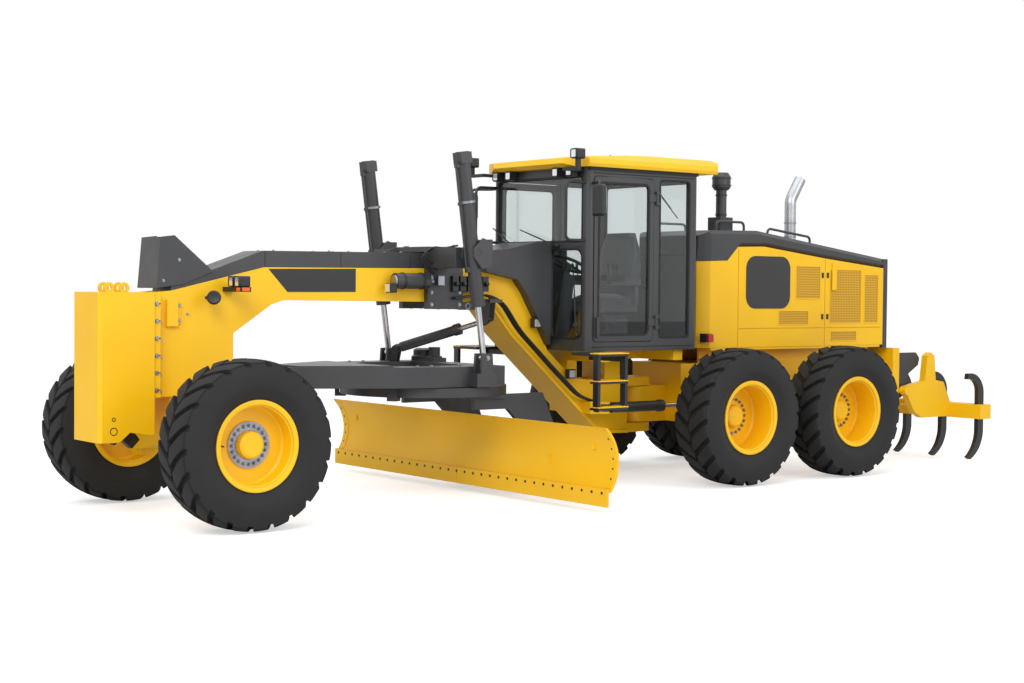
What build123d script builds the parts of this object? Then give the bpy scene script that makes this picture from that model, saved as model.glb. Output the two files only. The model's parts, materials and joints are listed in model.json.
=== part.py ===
from build123d import *
import os
from math import cos, pi, sin

# Motor grader with front push block and rear ripper.
# Millimetres. +X is forward, +Y is the machine's left, +Z is up.
# The origin lies on the ground under the middle of the overall length.

# ------------------------------------------------------------ driving sizes
FRONT_AXLE_X = 4302.5          # front axle ahead of the middle of the machine
AXLE_TO_TANDEM = 5390.0        # front axle to the tandem's front wheels
TANDEM_SPACING = 1540.0        # between the two wheels of one tandem
WHEEL_Y = 1120.0               # wheel centre from the centre line
AXLE_TO_PIVOT = 5050.0         # front axle to the frame's articulation pin

TYRE_R = 668.0                 # out to the tips of the lugs
TYRE_HALF = 225.0              # half of the tyre's width
TREAD_R = 640.0                # tyre's tread between the lugs
TYRE_FACETS = 24
LUGS_PER_ROW = 16
SEAT_R = 318.0                 # bead seat radius of the rim
FLANGE_R = 357.0               # rim flange radius
RIM_HALF = 190.0               # half of the rim's width, over its flanges
RIM_WALL = 12.0
FRONT_DISC = 25.0              # wheel disc's outer face, outward of the wheel's centre
REAR_DISC = -90.0
HUB_BORE_R = 60.0              # bore that turns on the spindle
FIT = 0.1                      # radial running clearance at pins and rods
SEAT_GAP = 0.3                 # between curved faces that only rest together
MOVE_GAP = 6.0                 # between pieces that move past each other

FRAME_HALF = 170.0             # half of the main beam's width
CAB_FLOOR_Z = 1310.0
CAB_HALF = 720.0
CAB_TOP_Z = 3030.0
HOOD_HALF = 530.0


def back(distance):
    """X of a station that lies a distance behind the front axle."""
    return FRONT_AXLE_X - distance


TANDEM_FRONT_X = back(AXLE_TO_TANDEM)
TANDEM_REAR_X = TANDEM_FRONT_X - TANDEM_SPACING
TANDEM_MID_X = (TANDEM_FRONT_X + TANDEM_REAR_X) / 2
PIVOT_X = back(AXLE_TO_PIVOT)
WHEEL_Z = TYRE_R
TANDEM_INNER = 640.0           # inner face of each tandem case

# front axle: lean pins at the beam's ends, kingpins in the leaning yokes
LEAN_Y = 640.0
LEAN_Z = 560.0
KINGPIN_Y = 790.0
LEAN_BAR_Z = 930.0             # pins of the bar that keeps both wheels parallel
STEER_ARM = 230.0              # kingpin to tie rod ball, rearwards
TIE_ROD_Z = 560.0
ARM_LIFT = 90.0                # steering arm above the tie rod

# drawbar, circle and blade
BALL_X = back(520)
BALL_Z = 1110.0
CIRCLE_X = back(2450)
CIRCLE_R = 760.0
CIRCLE_LOW = 930.0
CIRCLE_HIGH = 1013.0
BLADE_X = back(2870)           # cutting edge
BLADE_LENGTH = 4267.0
BLADE_MID_Y = -50.0            # the blade is shifted a little to the right
BLADE_BOTTOM_Z = 70.0
BLADE_HEIGHT = 665.0


def behind(distance):
    """X of a station that lies a distance behind the cutting edge."""
    return BLADE_X - distance


PITCH_X = behind(330)          # pins on which the blade's carrier tilts
PITCH_Z = 300.0
PITCH_Y = 555.0
SLIDE_Z = (240.0, 560.0)       # heights of the two slide bars on the blade's back
SHIFT_X = behind(220)          # shift ram behind the blade
SHIFT_Z = 400.0
SHIFT_LUG_Y = 1210.0           # lug on the blade that holds the shift ram's rod
SHIFT_ROD = 1745.0

# rams: pin on the carrying piece, and eye of the rod at rest
LIFT_RANGE = (-14.0, 9.0)      # degrees that the drawbar turns at its ball, down and up
LIFT_Y = 750.0
LIFT_PIN = (back(2440), LIFT_Y, 2200.0)
LIFT_EYE = (back(2570), LIFT_Y, 1275.0)
SIDE_PIN = (back(2470), -470.0, 1320.0)
SIDE_EYE = (back(2930), 330.0, 1600.0)
TILT_PIN = (behind(650), 0.0, 420.0)
TILT_EYE = (behind(248), 0.0, 600.0)
ARTIC_PIN = (back(4350), 360.0, 745.0)
ARTIC_EYE = (back(5420), 440.0, 745.0)
RIPPER_HINGE = (back(8500), 0.0, 800.0)
RIPPER_PIN = (back(8500), 0.0, 1300.0)
RIPPER_EYE = (back(9060), 0.0, 740.0)
RIPPER_ARM_Y = 640.0           # middle of each side arm
RIPPER_SHANK_Y = (-1000.0, -500.0, 0.0, 500.0, 1000.0)

# hood: its foot, its rear end, and where the dark cover begins, as distances and heights
HOOD_BASE_Z = 1310.0
HOOD_FRONT = 5480.0
HOOD_REAR = 8240.0
EXHAUST_X = back(7310)
EXHAUST_R = 62.0
BAND = ((5480, 2180), (5820, 2192), (5970, 2335), (6350, 2345), (7280, 2240), (8240, 2148))
# screens in each side of the hood: front, rear, foot and top
SCREENS = (
    (6840, 7210, 1810, 2150),
    (6580, 7030, 1540, 1680),
    (7370, 7870, 1550, 2120),
    (7930, 8150, 1550, 2070),
    (7390, 7800, 1360, 1460),
)

# push block
PUSH_FRONT = back(-825)
PUSH_REAR = back(-349)
PUSH_HALF = 250.0
PUSH_TOP = 1836.0
# tie-down eyes on top of the push block
LUG_X = (back(-654), back(-524))
LUG_Y = (50.0, -50.0)
LUG_Z = PUSH_TOP + 34
LUG_R = 45.0
LUG_HOLE_R = 20.0
LUG_THICK = 20.0

# cab: walls, door and quarter window openings
CAB_FRONT_X = back(3790)
CAB_REAR_X = back(5220)
WALL = 62.0
DOOR_X0 = back(4625)
DOOR_X1 = back(3865)
DOOR_Z0 = 1395.0
DOOR_Z1 = 2950.0
QUARTER_X0 = back(5105)
QUARTER_X1 = back(4700)
QUARTER_Z0 = DOOR_Z0 + 30
GLASS_HALF = CAB_HALF - 70     # front and rear window openings
DOOR_HINGE_X = back(4655)
DOOR_HINGE_Y = CAB_HALF + 14.0
DOOR_HINGE_Z = (1580.0, 2765.0)


# ------------------------------------------------------------ small helpers
def block(x0, x1, y0, y1, z0, z1):
    """Box between two corners."""
    size = Box(abs(x1 - x0), abs(y1 - y0), abs(z1 - z0))
    return Pos((x0 + x1) / 2, (y0 + y1) / 2, (z0 + z1) / 2) * size


def plate_xz(outline, y0, y1):
    """Side outline of (x, z) points, as thick as y0 to y1."""
    face = make_face(Polyline([(x, y0, z) for x, z in outline], close=True))
    return extrude(face, amount=y1 - y0, dir=(0, 1, 0))


def plate_xy(outline, z0, z1):
    """Plan outline of (x, y) points, from z0 up to z1."""
    face = make_face(Polyline([(x, y, z0) for x, y in outline], close=True))
    return extrude(face, amount=z1 - z0, dir=(0, 0, 1))


def plate_yz(outline, x0, x1):
    """Front outline of (y, z) points, from x0 to x1."""
    face = make_face(Polyline([(x0, y, z) for y, z in outline], close=True))
    return extrude(face, amount=x1 - x0, dir=(1, 0, 0))


def bar(start, end, radius):
    """Round bar from one point to another."""
    run = Vector(*end) - Vector(*start)
    stock = Cylinder(radius, run.length, align=(Align.CENTER, Align.CENTER, Align.MIN))
    return Plane(origin=start, z_dir=run).location * stock


def tube(points, radius, bend):
    """Round tube along straight runs joined by bends."""
    path = FilletPolyline(*points, radius=bend)
    section = Plane(origin=path @ 0, z_dir=path % 0) * Circle(radius)
    return sweep(section, path=path)


def rounded_xz(x0, x1, y0, y1, z0, z1, radius):
    """Slab between y0 and y1 with rounded corners in the side view."""
    centre = Plane(origin=((x0 + x1) / 2, y0, (z0 + z1) / 2), x_dir=(1, 0, 0), z_dir=(0, 1, 0))
    face = centre * RectangleRounded(abs(x1 - x0), abs(z1 - z0), radius)
    return extrude(face, amount=y1 - y0, dir=(0, 1, 0))


def rounded_yz(x0, x1, y0, y1, z0, z1, radius):
    """Slab between x0 and x1 with rounded corners in the front view."""
    centre = Plane(origin=(x0, (y0 + y1) / 2, (z0 + z1) / 2), x_dir=(0, 1, 0), z_dir=(1, 0, 0))
    face = centre * RectangleRounded(abs(y1 - y0), abs(z1 - z0), radius)
    return extrude(face, amount=x1 - x0, dir=(1, 0, 0))


def turned_y(profile, centre):
    """Profile of (radius, y) points turned about a line along Y."""
    face = make_face(Polyline([(r, y, 0) for r, y in profile], close=True))
    return Pos(*centre) * revolve(face, Axis.Y)


def turned_z(profile, centre):
    """Profile of (radius, z) points turned about a vertical line."""
    face = make_face(Polyline([(r, 0, z) for r, z in profile], close=True))
    return Pos(*centre) * revolve(face, Axis.Z)


def other_side(shape):
    """The same piece on the machine's right-hand side."""
    return mirror(shape, about=Plane.XZ)


def both_sides(shape):
    """A piece and its mirror image in one node."""
    return shape + other_side(shape)


def flip_y(point):
    """A left-hand point moved to the right-hand side."""
    return (point[0], -point[1], point[2])


def save(name, shape):
    """One node, one STEP file."""
    export_step(shape, f"parts/{name}.step")


# ------------------------------------------------------------ hydraulic rams
def clevis(pin, axis, toward, gap_half, thick, radius, reach, pin_r):
    """Two lug plates and the pin through them; toward points at their carrier."""
    lug = Cylinder(radius, thick) + Pos(reach / 2, 0, 0) * Box(reach, 2 * radius, thick)
    offset = gap_half + thick / 2
    lugs = Pos(0, 0, offset) * lug + Pos(0, 0, -offset) * lug
    if pin_r > 0:
        lugs = lugs + Cylinder(pin_r, 2 * (gap_half + thick))
    return Plane(origin=pin, x_dir=toward, z_dir=axis).location * lugs


def ram_axes(pin, eye):
    """Unit vector from the pin to the rod's eye, and their distance."""
    run = Vector(*eye) - Vector(*pin)
    return run.normalized(), run.length


def ram_barrel(pin, eye, axis, radius, tail, ahead, rod_r, pin_r, boss_half, trunnion=False):
    """Hollow barrel on its pin, with a bore for the piston and a gland for the rod."""
    along, _ = ram_axes(pin, eye)
    origin = Vector(*pin)
    start = origin + along * tail
    head = origin + along * ahead
    bore_r = radius - 14
    half = Vector(*axis).normalized() * boss_half
    shape = bar(start, head, radius)
    shape += bar(head - along * 60, head, radius + 8)
    if trunnion:
        shape += bar(origin - half, origin + half, pin_r)
    else:
        shape += bar(origin - half, origin + half, pin_r + 20)
        shape += bar(origin, start + along * 5, boss_half - 3)
    shape -= bar(start + along * 25, head - along * 45, bore_r)
    shape -= bar(head - along * 46, head + along, rod_r + FIT)
    if not trunnion:
        shape -= bar(origin - half * 1.1, origin + half * 1.1, pin_r + FIT)
    return shape


def ram_rod(pin, eye, axis, radius, rod_r, rod_length, eye_r, eye_half):
    """Chromed rod with its piston and eye."""
    along, _ = ram_axes(pin, eye)
    tip = Vector(*eye)
    half = Vector(*axis).normalized() * eye_half
    shape = bar(tip - along * rod_length, tip, rod_r)
    shape += bar(tip - along * rod_length, tip - along * (rod_length - 40), radius - 14 - FIT)
    shape += bar(tip - half, tip + half, eye_r)
    return shape


# ------------------------------------------------------------ front frame
def main_frame():
    """Gooseneck, arch and rear hinge ears of the front frame."""
    nose_low = 990.0
    outline = [
        (back(-330), nose_low), (back(-330), 1835), (back(-170), 1850),
        (back(690), 2052), (back(2790), 2070), (back(3350), 2000),
        (back(3445), 1887), (back(3775), 1300), (back(3905), 1190),
        (back(4095), 1031), (back(4290), 1010), (back(4800), 1020),
        (back(4800), 470), (back(4450), 480), (back(4330), 560),
        (back(3306), 1455), (back(3100), 1690), (back(2950), 1760),
        (back(880), 1776), (back(760), 1740), (back(400), 1500), (back(400), nose_low),
    ]
    shape = plate_xz(outline, -FRAME_HALF, FRAME_HALF)
    # flange that the push block is bolted to
    shape += block(PUSH_REAR, back(-290), -235, 235, nose_low, PUSH_TOP)
    # flanges along the arch
    flange = [
        (back(2950), 1760), (back(3100), 1690), (back(3306), 1455), (back(4330), 560),
        (back(4450), 480), (back(4800), 470), (back(4800), 500), (back(4460), 510),
        (back(4345), 585), (back(3325), 1478), (back(3115), 1716), (back(2955), 1790),
    ]
    shape += plate_xz(flange, -FRAME_HALF - 25, FRAME_HALF + 25)
    # axle bracket: two cheeks in front of and behind the axle beam, with the pivot pin's bore
    for x0 in (-165.0, 105.0):
        cheek = [(-150, nose_low), (150, nose_low), (110, 640), (-110, 640)]
        shape += plate_yz(cheek, FRONT_AXLE_X + x0, FRONT_AXLE_X + x0 + 60)
    pin_z = 715.0
    shape -= bar((back(200), 0, pin_z), (back(-200), 0, pin_z), 50 + FIT)
    # hinge ears
    for z0, z1 in ((470, 560), (930, 1020)):
        shape += block(back(4800), PIVOT_X, -150, 150, z0, z1)
        shape += Pos(PIVOT_X, 0, (z0 + z1) / 2) * Cylinder(150, z1 - z0)
    shape += bar((PIVOT_X, 0, 470), (PIVOT_X, 0, 1020), 55)
    # cab cross members
    for distance, low in ((4020.0, 1020.0), (4960.0, 1000.0)):
        x0 = back(distance + 120)
        x1 = back(distance)
        if distance < 4800:
            shape += block(x0, x1, -FRAME_HALF, FRAME_HALF, low, CAB_FLOOR_Z)
        shape += block(x0, x1, -660, 660, 1205, CAB_FLOOR_Z)
    shape += block(back(5080), back(4500), -FRAME_HALF, FRAME_HALF, 1205, CAB_FLOOR_Z)
    shape += block(back(4700), back(4500), -FRAME_HALF, FRAME_HALF, 1000, CAB_FLOOR_Z)
    # carrier of the articulation rams
    shape += block(back(4330), back(4200), -310, 310, ARTIC_PIN[2] - 60, ARTIC_PIN[2] + 60)
    for pin in (ARTIC_PIN, flip_y(ARTIC_PIN)):
        inward = (1, -0.75 if pin[1] > 0 else 0.75, 0)
        shape += clevis(pin, (0, 0, 1), inward, 36, 22, 45, 150, 25)
    # socket for the drawbar's ball
    shape += block(back(440), back(400), -130, 130, 1000, 1240)
    shape += block(BALL_X - 40, back(430), -110, -90, 1040, 1180)
    shape += block(BALL_X - 40, back(430), 90, 110, 1040, 1180)
    shape += bar((BALL_X, -110, BALL_Z), (BALL_X, 110, BALL_Z), 35)
    return shape


def frame_covers():
    """Dark sheet covers: gooseneck top, valve housing ahead of the cab, nose shield, filter."""
    half = FRAME_HALF - 5
    top = [
        (back(-170), 1850), (back(-165), 1895), (back(680), 2192), (back(2790), 2210),
        (back(2790), 2070), (back(690), 2052),
    ]
    shape = plate_xz(top, -half, half)
    valve = [
        (back(2960), 2045), (back(3010), 2240), (back(3200), 2258), (back(3560), 2330),
        (back(3730), 2330), (back(3730), 1360), (back(3640), 1510), (back(3430), 1855), (back(3330), 1975),
    ]
    for side in (1, -1):
        shape += plate_xz(valve, side * FRAME_HALF, side * (FRAME_HALF + 100))
    roof = [
        (back(2960), 2100), (back(3010), 2240), (back(3200), 2258), (back(3560), 2330),
        (back(3730), 2330), (back(3730), 2290), (back(3560), 2290), (back(3210), 2215),
        (back(3040), 2195), (back(3000), 2080),
    ]
    shape += plate_xz(roof, -FRAME_HALF - 100, FRAME_HALF + 100)
    shield = [
        (back(-300), 1870), (back(-262), 2285), (back(-140), 2300), (back(210), 2010), (back(-60), 1905),
    ]
    for side in (1, -1):
        shape += plate_xz(shield, side * (half - 12), side * (half + 12))
    face = [(back(-300), 1870), (back(-262), 2285), (back(-250), 2285), (back(-286), 1875)]
    shape += plate_xz(face, -half - 12, half + 12)
    shape += bar((back(1960), FRAME_HALF + 75, 1950), (back(2315), FRAME_HALF + 75, 1950), 70)
    for distance in (2040.0, 2270.0):
        shape += block(back(distance), back(distance - 40), FRAME_HALF, FRAME_HALF + 60, 1900, 2000)
    return shape


def push_block():
    """Tall push block bolted to the nose, with a stepped foot and two pairs of tie-down eyes."""
    outline = [
        (PUSH_REAR, 690), (PUSH_REAR, PUSH_TOP), (PUSH_FRONT, PUSH_TOP), (PUSH_FRONT, 645),
        (back(-650), 645), (back(-560), 720),
    ]
    shape = plate_xz(outline, -PUSH_HALF, PUSH_HALF)
    shape = chamfer(shape.edges().filter_by(Axis.Z).sort_by(Axis.X)[-2:], 28)
    for y in LUG_Y:
        for x in LUG_X:
            ear = Cylinder(LUG_R, LUG_THICK) - Cylinder(LUG_HOLE_R, LUG_THICK + 2)
            shape += Pos(x, y, LUG_Z) * Rot(90, 0, 0) * ear
    return shape


def front_axle():
    """Axle beam with its pivot pin and the forks for the leaning yokes."""
    outline = [
        (-LEAN_Y + 75, 500), (-300, 560), (300, 560), (LEAN_Y - 75, 500), (LEAN_Y - 75, 640),
        (430, 700), (140, 800), (-140, 800), (-430, 700), (-LEAN_Y + 75, 640),
    ]
    shape = plate_yz(outline, FRONT_AXLE_X - 95, FRONT_AXLE_X + 95)
    for side in (1, -1):
        for x0 in (-95.0, 67.0):
            centre = (FRONT_AXLE_X + x0 + 14, side * LEAN_Y, LEAN_Z)
            ear = Plane(origin=centre, z_dir=(1, 0, 0)).location * Cylinder(66, 28)
            shape += ear
            shape += block(FRONT_AXLE_X + x0, FRONT_AXLE_X + x0 + 28,
                           side * (LEAN_Y - 80), side * LEAN_Y, LEAN_Z - 58, LEAN_Z + 58)
        shape += bar((FRONT_AXLE_X - 95, side * LEAN_Y, LEAN_Z), (FRONT_AXLE_X + 95, side * LEAN_Y, LEAN_Z), 30)
    shape += bar((FRONT_AXLE_X - 185, 0, 715), (FRONT_AXLE_X + 185, 0, 715), 50)
    return shape


def lean_yoke():
    """Left leaning yoke: turns on the lean pin and carries the kingpin."""
    x = FRONT_AXLE_X
    shape = bar((x - 60, LEAN_Y, LEAN_Z), (x + 60, LEAN_Y, LEAN_Z), 60)
    shape += block(x - 60, x + 60, LEAN_Y - 35, LEAN_Y + 35, LEAN_Z, LEAN_BAR_Z - 60)
    shape += block(x - 55, x + 55, LEAN_Y, KINGPIN_Y, 445, 495)
    shape += block(x - 55, x + 55, LEAN_Y, KINGPIN_Y, 840, 890)
    shape += block(x - 60, x + 60, LEAN_Y - 35, LEAN_Y + 45, 445, LEAN_Z)
    for z0 in (445.0, 840.0):
        shape += Pos(x, KINGPIN_Y, z0 + 25) * Cylinder(55, 50)
    shape += bar((x, KINGPIN_Y, 445), (x, KINGPIN_Y, 890), 28)
    # ears for the lean bar
    for x0 in (-60.0, 42.0):
        shape += block(x + x0, x + x0 + 18, LEAN_Y - 32, LEAN_Y + 32, 860, LEAN_BAR_Z)
        shape += Plane(origin=(x + x0 + 9, LEAN_Y, LEAN_BAR_Z), z_dir=(1, 0, 0)).location * Cylinder(32, 18)
    shape += bar((x - 60, LEAN_Y, LEAN_BAR_Z), (x + 60, LEAN_Y, LEAN_BAR_Z), 16)
    shape -= bar((x - 61, LEAN_Y, LEAN_Z), (x + 61, LEAN_Y, LEAN_Z), 30 + FIT)
    return shape


def lean_bar():
    """Bar across the front that keeps the two yokes parallel."""
    x = FRONT_AXLE_X
    shape = bar((x, -LEAN_Y, LEAN_BAR_Z), (x, LEAN_Y, LEAN_BAR_Z), 22)
    for side in (1, -1):
        shape += bar((x - 34, side * LEAN_Y, LEAN_BAR_Z), (x + 34, side * LEAN_Y, LEAN_BAR_Z), 30)
    for side in (1, -1):
        shape -= bar((x - 35, side * LEAN_Y, LEAN_BAR_Z), (x + 35, side * LEAN_Y, LEAN_BAR_Z), 16 + FIT)
    return shape


def knuckle():
    """Left knuckle with its spindle and steering arm."""
    x = FRONT_AXLE_X
    shape = bar((x, KINGPIN_Y, 501), (x, KINGPIN_Y, 834), 58)
    shape += bar((x, KINGPIN_Y, WHEEL_Z), (x, WHEEL_Y + FRONT_DISC - 80, WHEEL_Z), 85)
    shape += bar((x, KINGPIN_Y, WHEEL_Z), (x, WHEEL_Y + FRONT_DISC - 1, WHEEL_Z), HUB_BORE_R - FIT)
    arm = [
        (x, KINGPIN_Y - 42), (x, KINGPIN_Y + 42), (x - STEER_ARM, KINGPIN_Y + 26), (x - STEER_ARM, KINGPIN_Y - 26),
    ]
    arm_z = TIE_ROD_Z + ARM_LIFT
    shape += plate_xy(arm, arm_z, arm_z + 30)
    shape += Pos(x - STEER_ARM, KINGPIN_Y, arm_z + 15) * Cylinder(34, 30)
    shape += bar((x - STEER_ARM, KINGPIN_Y, TIE_ROD_Z - 20), (x - STEER_ARM, KINGPIN_Y, arm_z + 10), 14)
    shape -= bar((x, KINGPIN_Y, 500), (x, KINGPIN_Y, 835), 28 + FIT)
    return shape


def tie_rod_joint():
    """Ball joint block between the left steering arm and the tie rod."""
    x = FRONT_AXLE_X - STEER_ARM
    shape = block(x - 26, x + 26, KINGPIN_Y - 24, KINGPIN_Y + 24, TIE_ROD_Z - 20, TIE_ROD_Z + 22)
    shape += bar((x - 46, KINGPIN_Y, TIE_ROD_Z), (x + 46, KINGPIN_Y, TIE_ROD_Z), 11)
    shape -= bar((x, KINGPIN_Y, TIE_ROD_Z - 21), (x, KINGPIN_Y, TIE_ROD_Z + 23), 14 + FIT)
    return shape


def tie_rod():
    """Rod behind the axle that joins the two steering arms."""
    x = FRONT_AXLE_X - STEER_ARM
    inner = KINGPIN_Y - 60
    shape = bar((x, -inner, TIE_ROD_Z), (x, inner, TIE_ROD_Z), 20)
    for x0 in (-46.0, 32.0):
        shape += block(x + x0, x + x0 + 14, inner - 20, KINGPIN_Y, TIE_ROD_Z - 18, TIE_ROD_Z + 18)
        shape += Plane(origin=(x + x0 + 7, KINGPIN_Y, TIE_ROD_Z), z_dir=(1, 0, 0)).location * Cylinder(18, 14)
    shape += block(x - 46, x + 46, inner - 30, inner - 10, TIE_ROD_Z - 18, TIE_ROD_Z + 18)
    shape -= bar((x - 47, KINGPIN_Y, TIE_ROD_Z), (x + 47, KINGPIN_Y, TIE_ROD_Z), 11 + FIT)
    return shape


# ------------------------------------------------------------ wheels
def faceted_ring(profile, count):
    """Solid with flat faces: a closed profile of (radius, y) points carried round the Y axis."""
    corners = [
        [Vector(r * sin(2 * pi * k / count), y, -r * cos(2 * pi * k / count)) for r, y in profile]
        for k in range(count)
    ]
    faces = []
    for k in range(count):
        here = corners[k]
        there = corners[(k + 1) % count]
        for n in range(len(profile)):
            m = (n + 1) % len(profile)
            faces.append(Face(Wire.make_polygon([here[n], here[m], there[m], there[n]])))
    return Solid(Shell(faces))


def tyre():
    """Tyre on its side round the Y axis, with two rows of slanted lugs that meet in a chevron."""
    grow = 1 / cos(pi / TYRE_FACETS)
    bead = (SEAT_R + SEAT_GAP) * grow
    flange = (FLANGE_R + 1) * grow
    side = [(bead, 176), (flange, 176), (510, TYRE_HALF), (TREAD_R, 190)]
    shape = faceted_ring(side + [(r, -y) for r, y in reversed(side)], TYRE_FACETS)
    lug = Box(88, 240, 52, align=(Align.CENTER, Align.CENTER, Align.MAX))
    lugs = []
    for row in (1, -1):
        for k in range(LUGS_PER_ROW):
            turn = 360 / LUGS_PER_ROW * (k + 0.25 * row)
            lugs.append(Rot(0, turn, 0) * Pos(0, row * 98, TYRE_R - 9) * Rot(0, 0, -row * 38) * lug)
    return shape.fuse(*lugs)


def rim(x, side, disc):
    """Rim with its dished disc at the given distance from the wheel's middle, and the hub."""
    edge = RIM_HALF
    inner = SEAT_R - RIM_WALL
    profile = [
        (HUB_BORE_R, disc - 70), (150, disc - 70), (160, disc - 16), (inner - 20, disc - 16),
        (inner, disc - 34), (inner, -edge + 20), (FLANGE_R - 12, -edge), (FLANGE_R, -edge + 2),
        (FLANGE_R, -edge + 14), (SEAT_R, -edge + 14), (SEAT_R, edge - 14), (FLANGE_R, edge - 14),
        (FLANGE_R, edge - 2), (FLANGE_R - 12, edge), (inner + 14, edge - 6), (inner + 8, edge - 26),
        (inner, edge - 30), (inner, disc + 18), (inner - 16, disc), (183, disc), (183, disc + 12),
        (112, disc + 12), (104, disc + 62), (86, disc + 74), (0, disc + 74), (0, disc + 4), (HUB_BORE_R, disc + 4),
    ]
    return turned_y([(r, side * y) for r, y in profile], (x, side * WHEEL_Y, WHEEL_Z))


# ------------------------------------------------------------ blade group
def drawbar():
    """A-shaped drawbar with the lugs for the lift rams and the circle's motor."""
    low = 1020.0
    high = 1200.0
    outer = [
        (back(640), 60), (back(1000), 200), (back(1700), 560), (back(2050), 700), (back(2850), 700),
    ]
    plan = outer + [(x, -y) for x, y in reversed(outer)]
    shape = plate_xy(plan, low, high)
    opening = [(back(1500), 60), (back(1900), 330), (back(2100), 440), (back(2620), 440)]
    shape -= plate_xy(opening + [(x, -y) for x, y in reversed(opening)], low - 1, high + 1)
    shape += bar((BALL_X, -82, BALL_Z), (BALL_X, 82, BALL_Z), 62)
    shape += block(back(700), BALL_X, -60, 60, BALL_Z - 50, BALL_Z + 50)
    # top plate over the V
    lid = [(back(1000), 190), (back(1700), 545), (back(1750), 545)]
    shape += plate_xy(lid + [(x, -y) for x, y in reversed(lid)], high - 1, high + 15)
    # lift ram lugs
    for side in (1, -1):
        for y0 in (LIFT_Y - 62, LIFT_Y + 36):
            tower = [
                (LIFT_EYE[0] - 75, low + 40), (LIFT_EYE[0] + 75, low + 40),
                (LIFT_EYE[0] + 55, LIFT_EYE[2] + 40), (LIFT_EYE[0] - 55, LIFT_EYE[2] + 40),
            ]
            shape += plate_xz(tower, side * y0, side * (y0 + 26))
        shape += block(LIFT_EYE[0] - 110, LIFT_EYE[0] + 110, side * 690, side * (LIFT_Y + 62), low, high - 60)
    # circle drive housing
    shape += block(back(2850), back(2700), -560, -200, high - 1, high + 35)
    # pads on the circle's rim, and two shoes that hold its front edge from below
    for angle in (35.0, 115.0, 245.0, 325.0):
        pad = Pos(CIRCLE_R - 60, 0, (CIRCLE_HIGH + low) / 2 + 0.25) * Box(70, 90, low - CIRCLE_HIGH - 0.5)
        shape += Pos(CIRCLE_X, 0, 0) * Rot(0, 0, angle) * pad
    for angle in (35.0, 325.0):
        post = Pos(CIRCLE_R + 26, 0, 970) * Box(40, 90, 110)
        toe = Pos(CIRCLE_R - 4, 0, 915) * Box(100, 90, 29)
        shape += Pos(CIRCLE_X, 0, 0) * Rot(0, 0, angle) * (post + toe)
    # carrier of the side-shift ram
    shape += clevis(SIDE_PIN, side_axis(), (0.0, -0.35, -1.0), 32, 18, 34, 150, 20)
    shape -= bar((BALL_X, -111, BALL_Z), (BALL_X, 111, BALL_Z), 35 + FIT)
    return shape


def side_axis():
    """Pin axis of the side-shift ram: square to the plane of its pin and the ends of the eye's path."""
    pin = Vector(*SIDE_PIN)
    ball = Vector(BALL_X, 0, BALL_Z)
    arm = Vector(*SIDE_EYE) - ball
    low, high = (ball + arm.rotate(Axis.Y, -angle) for angle in LIFT_RANGE)
    return (low - pin).cross(high - pin).normalized()


def circle():
    """Turning circle with its two arms, their cross tube and the ram lug."""
    inner = CIRCLE_R - 120
    profile = [(inner, CIRCLE_LOW), (CIRCLE_R, CIRCLE_LOW), (CIRCLE_R, CIRCLE_HIGH), (inner, CIRCLE_HIGH)]
    shape = turned_z(profile, (CIRCLE_X, 0, 0))
    arm = [
        (back(2600), 935), (behind(520), 935), (behind(720), 500), (behind(720), 360), (behind(590), 350),
        (behind(420), 225), (behind(292), 225), (behind(292), 620), (behind(110), 800), (back(2600), 800),
    ]
    for side in (1, -1):
        shape += plate_xz(arm, side * (PITCH_Y - 22), side * (PITCH_Y + 22))
        shape += bar((PITCH_X, side * (PITCH_Y - 22), PITCH_Z), (PITCH_X, side * (PITCH_Y - 75), PITCH_Z), 28)
        shape += block(behind(70), back(2500), side * 470, side * 620, 900, 935)
    tube_x = TILT_PIN[0] - 88
    shape += bar((tube_x, -PITCH_Y, TILT_PIN[2]), (tube_x, PITCH_Y, TILT_PIN[2]), 42)
    shape += clevis(TILT_PIN, (0, 1, 0), (-1, 0, 0), 32, 18, 34, 80, 18)
    return shape


def tilt_carrier():
    """Carrier that tilts on the arms and guides the blade's two slide bars."""
    shape = None
    cheek = [
        (behind(155), 190), (behind(155), 640), (behind(280), 640), (behind(390), 340), (behind(390), 230), (behind(300), 190),
    ]
    for side in (1, -1):
        plate = plate_xz(cheek, side * (PITCH_Y - 105), side * (PITCH_Y - 55))
        shape = plate if shape is None else shape + plate
    for side in (1, -1):
        shape += block(behind(310), behind(250), side * 36, side * 500, 585, 640)
    shape += block(behind(360), behind(270), -500, 500, 195, 235)
    for z in SLIDE_Z:
        shape -= block(behind(210.5), behind(150), -600, 600, z - 30.5, z + 30.5)
    # shift ram's barrel, fixed between the cheeks
    shape += bar((SHIFT_X, -1250, SHIFT_Z), (SHIFT_X, 250, SHIFT_Z), 42)
    shape -= bar((SHIFT_X, -1230, SHIFT_Z), (SHIFT_X, 215, SHIFT_Z), 32)
    shape -= bar((SHIFT_X, 200, SHIFT_Z), (SHIFT_X, 251, SHIFT_Z), 22 + FIT)
    shape -= bar((SHIFT_X, PITCH_Y - 110, SHIFT_Z), (SHIFT_X, PITCH_Y - 50, SHIFT_Z), 22 + 2)
    for side in (1, -1):
        shape -= bar((PITCH_X, side * (PITCH_Y - 120), PITCH_Z), (PITCH_X, side * (PITCH_Y - 50), PITCH_Z), 28 + FIT)
    # lug for the tilt ram's rod
    for y0 in (-52.0, 34.0):
        lug = [(behind(310), 590), (behind(310), 650), (behind(216), 650), (behind(216), 575), (behind(270), 560)]
        shape += plate_xz(lug, y0, y0 + 18)
    return shape


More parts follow.
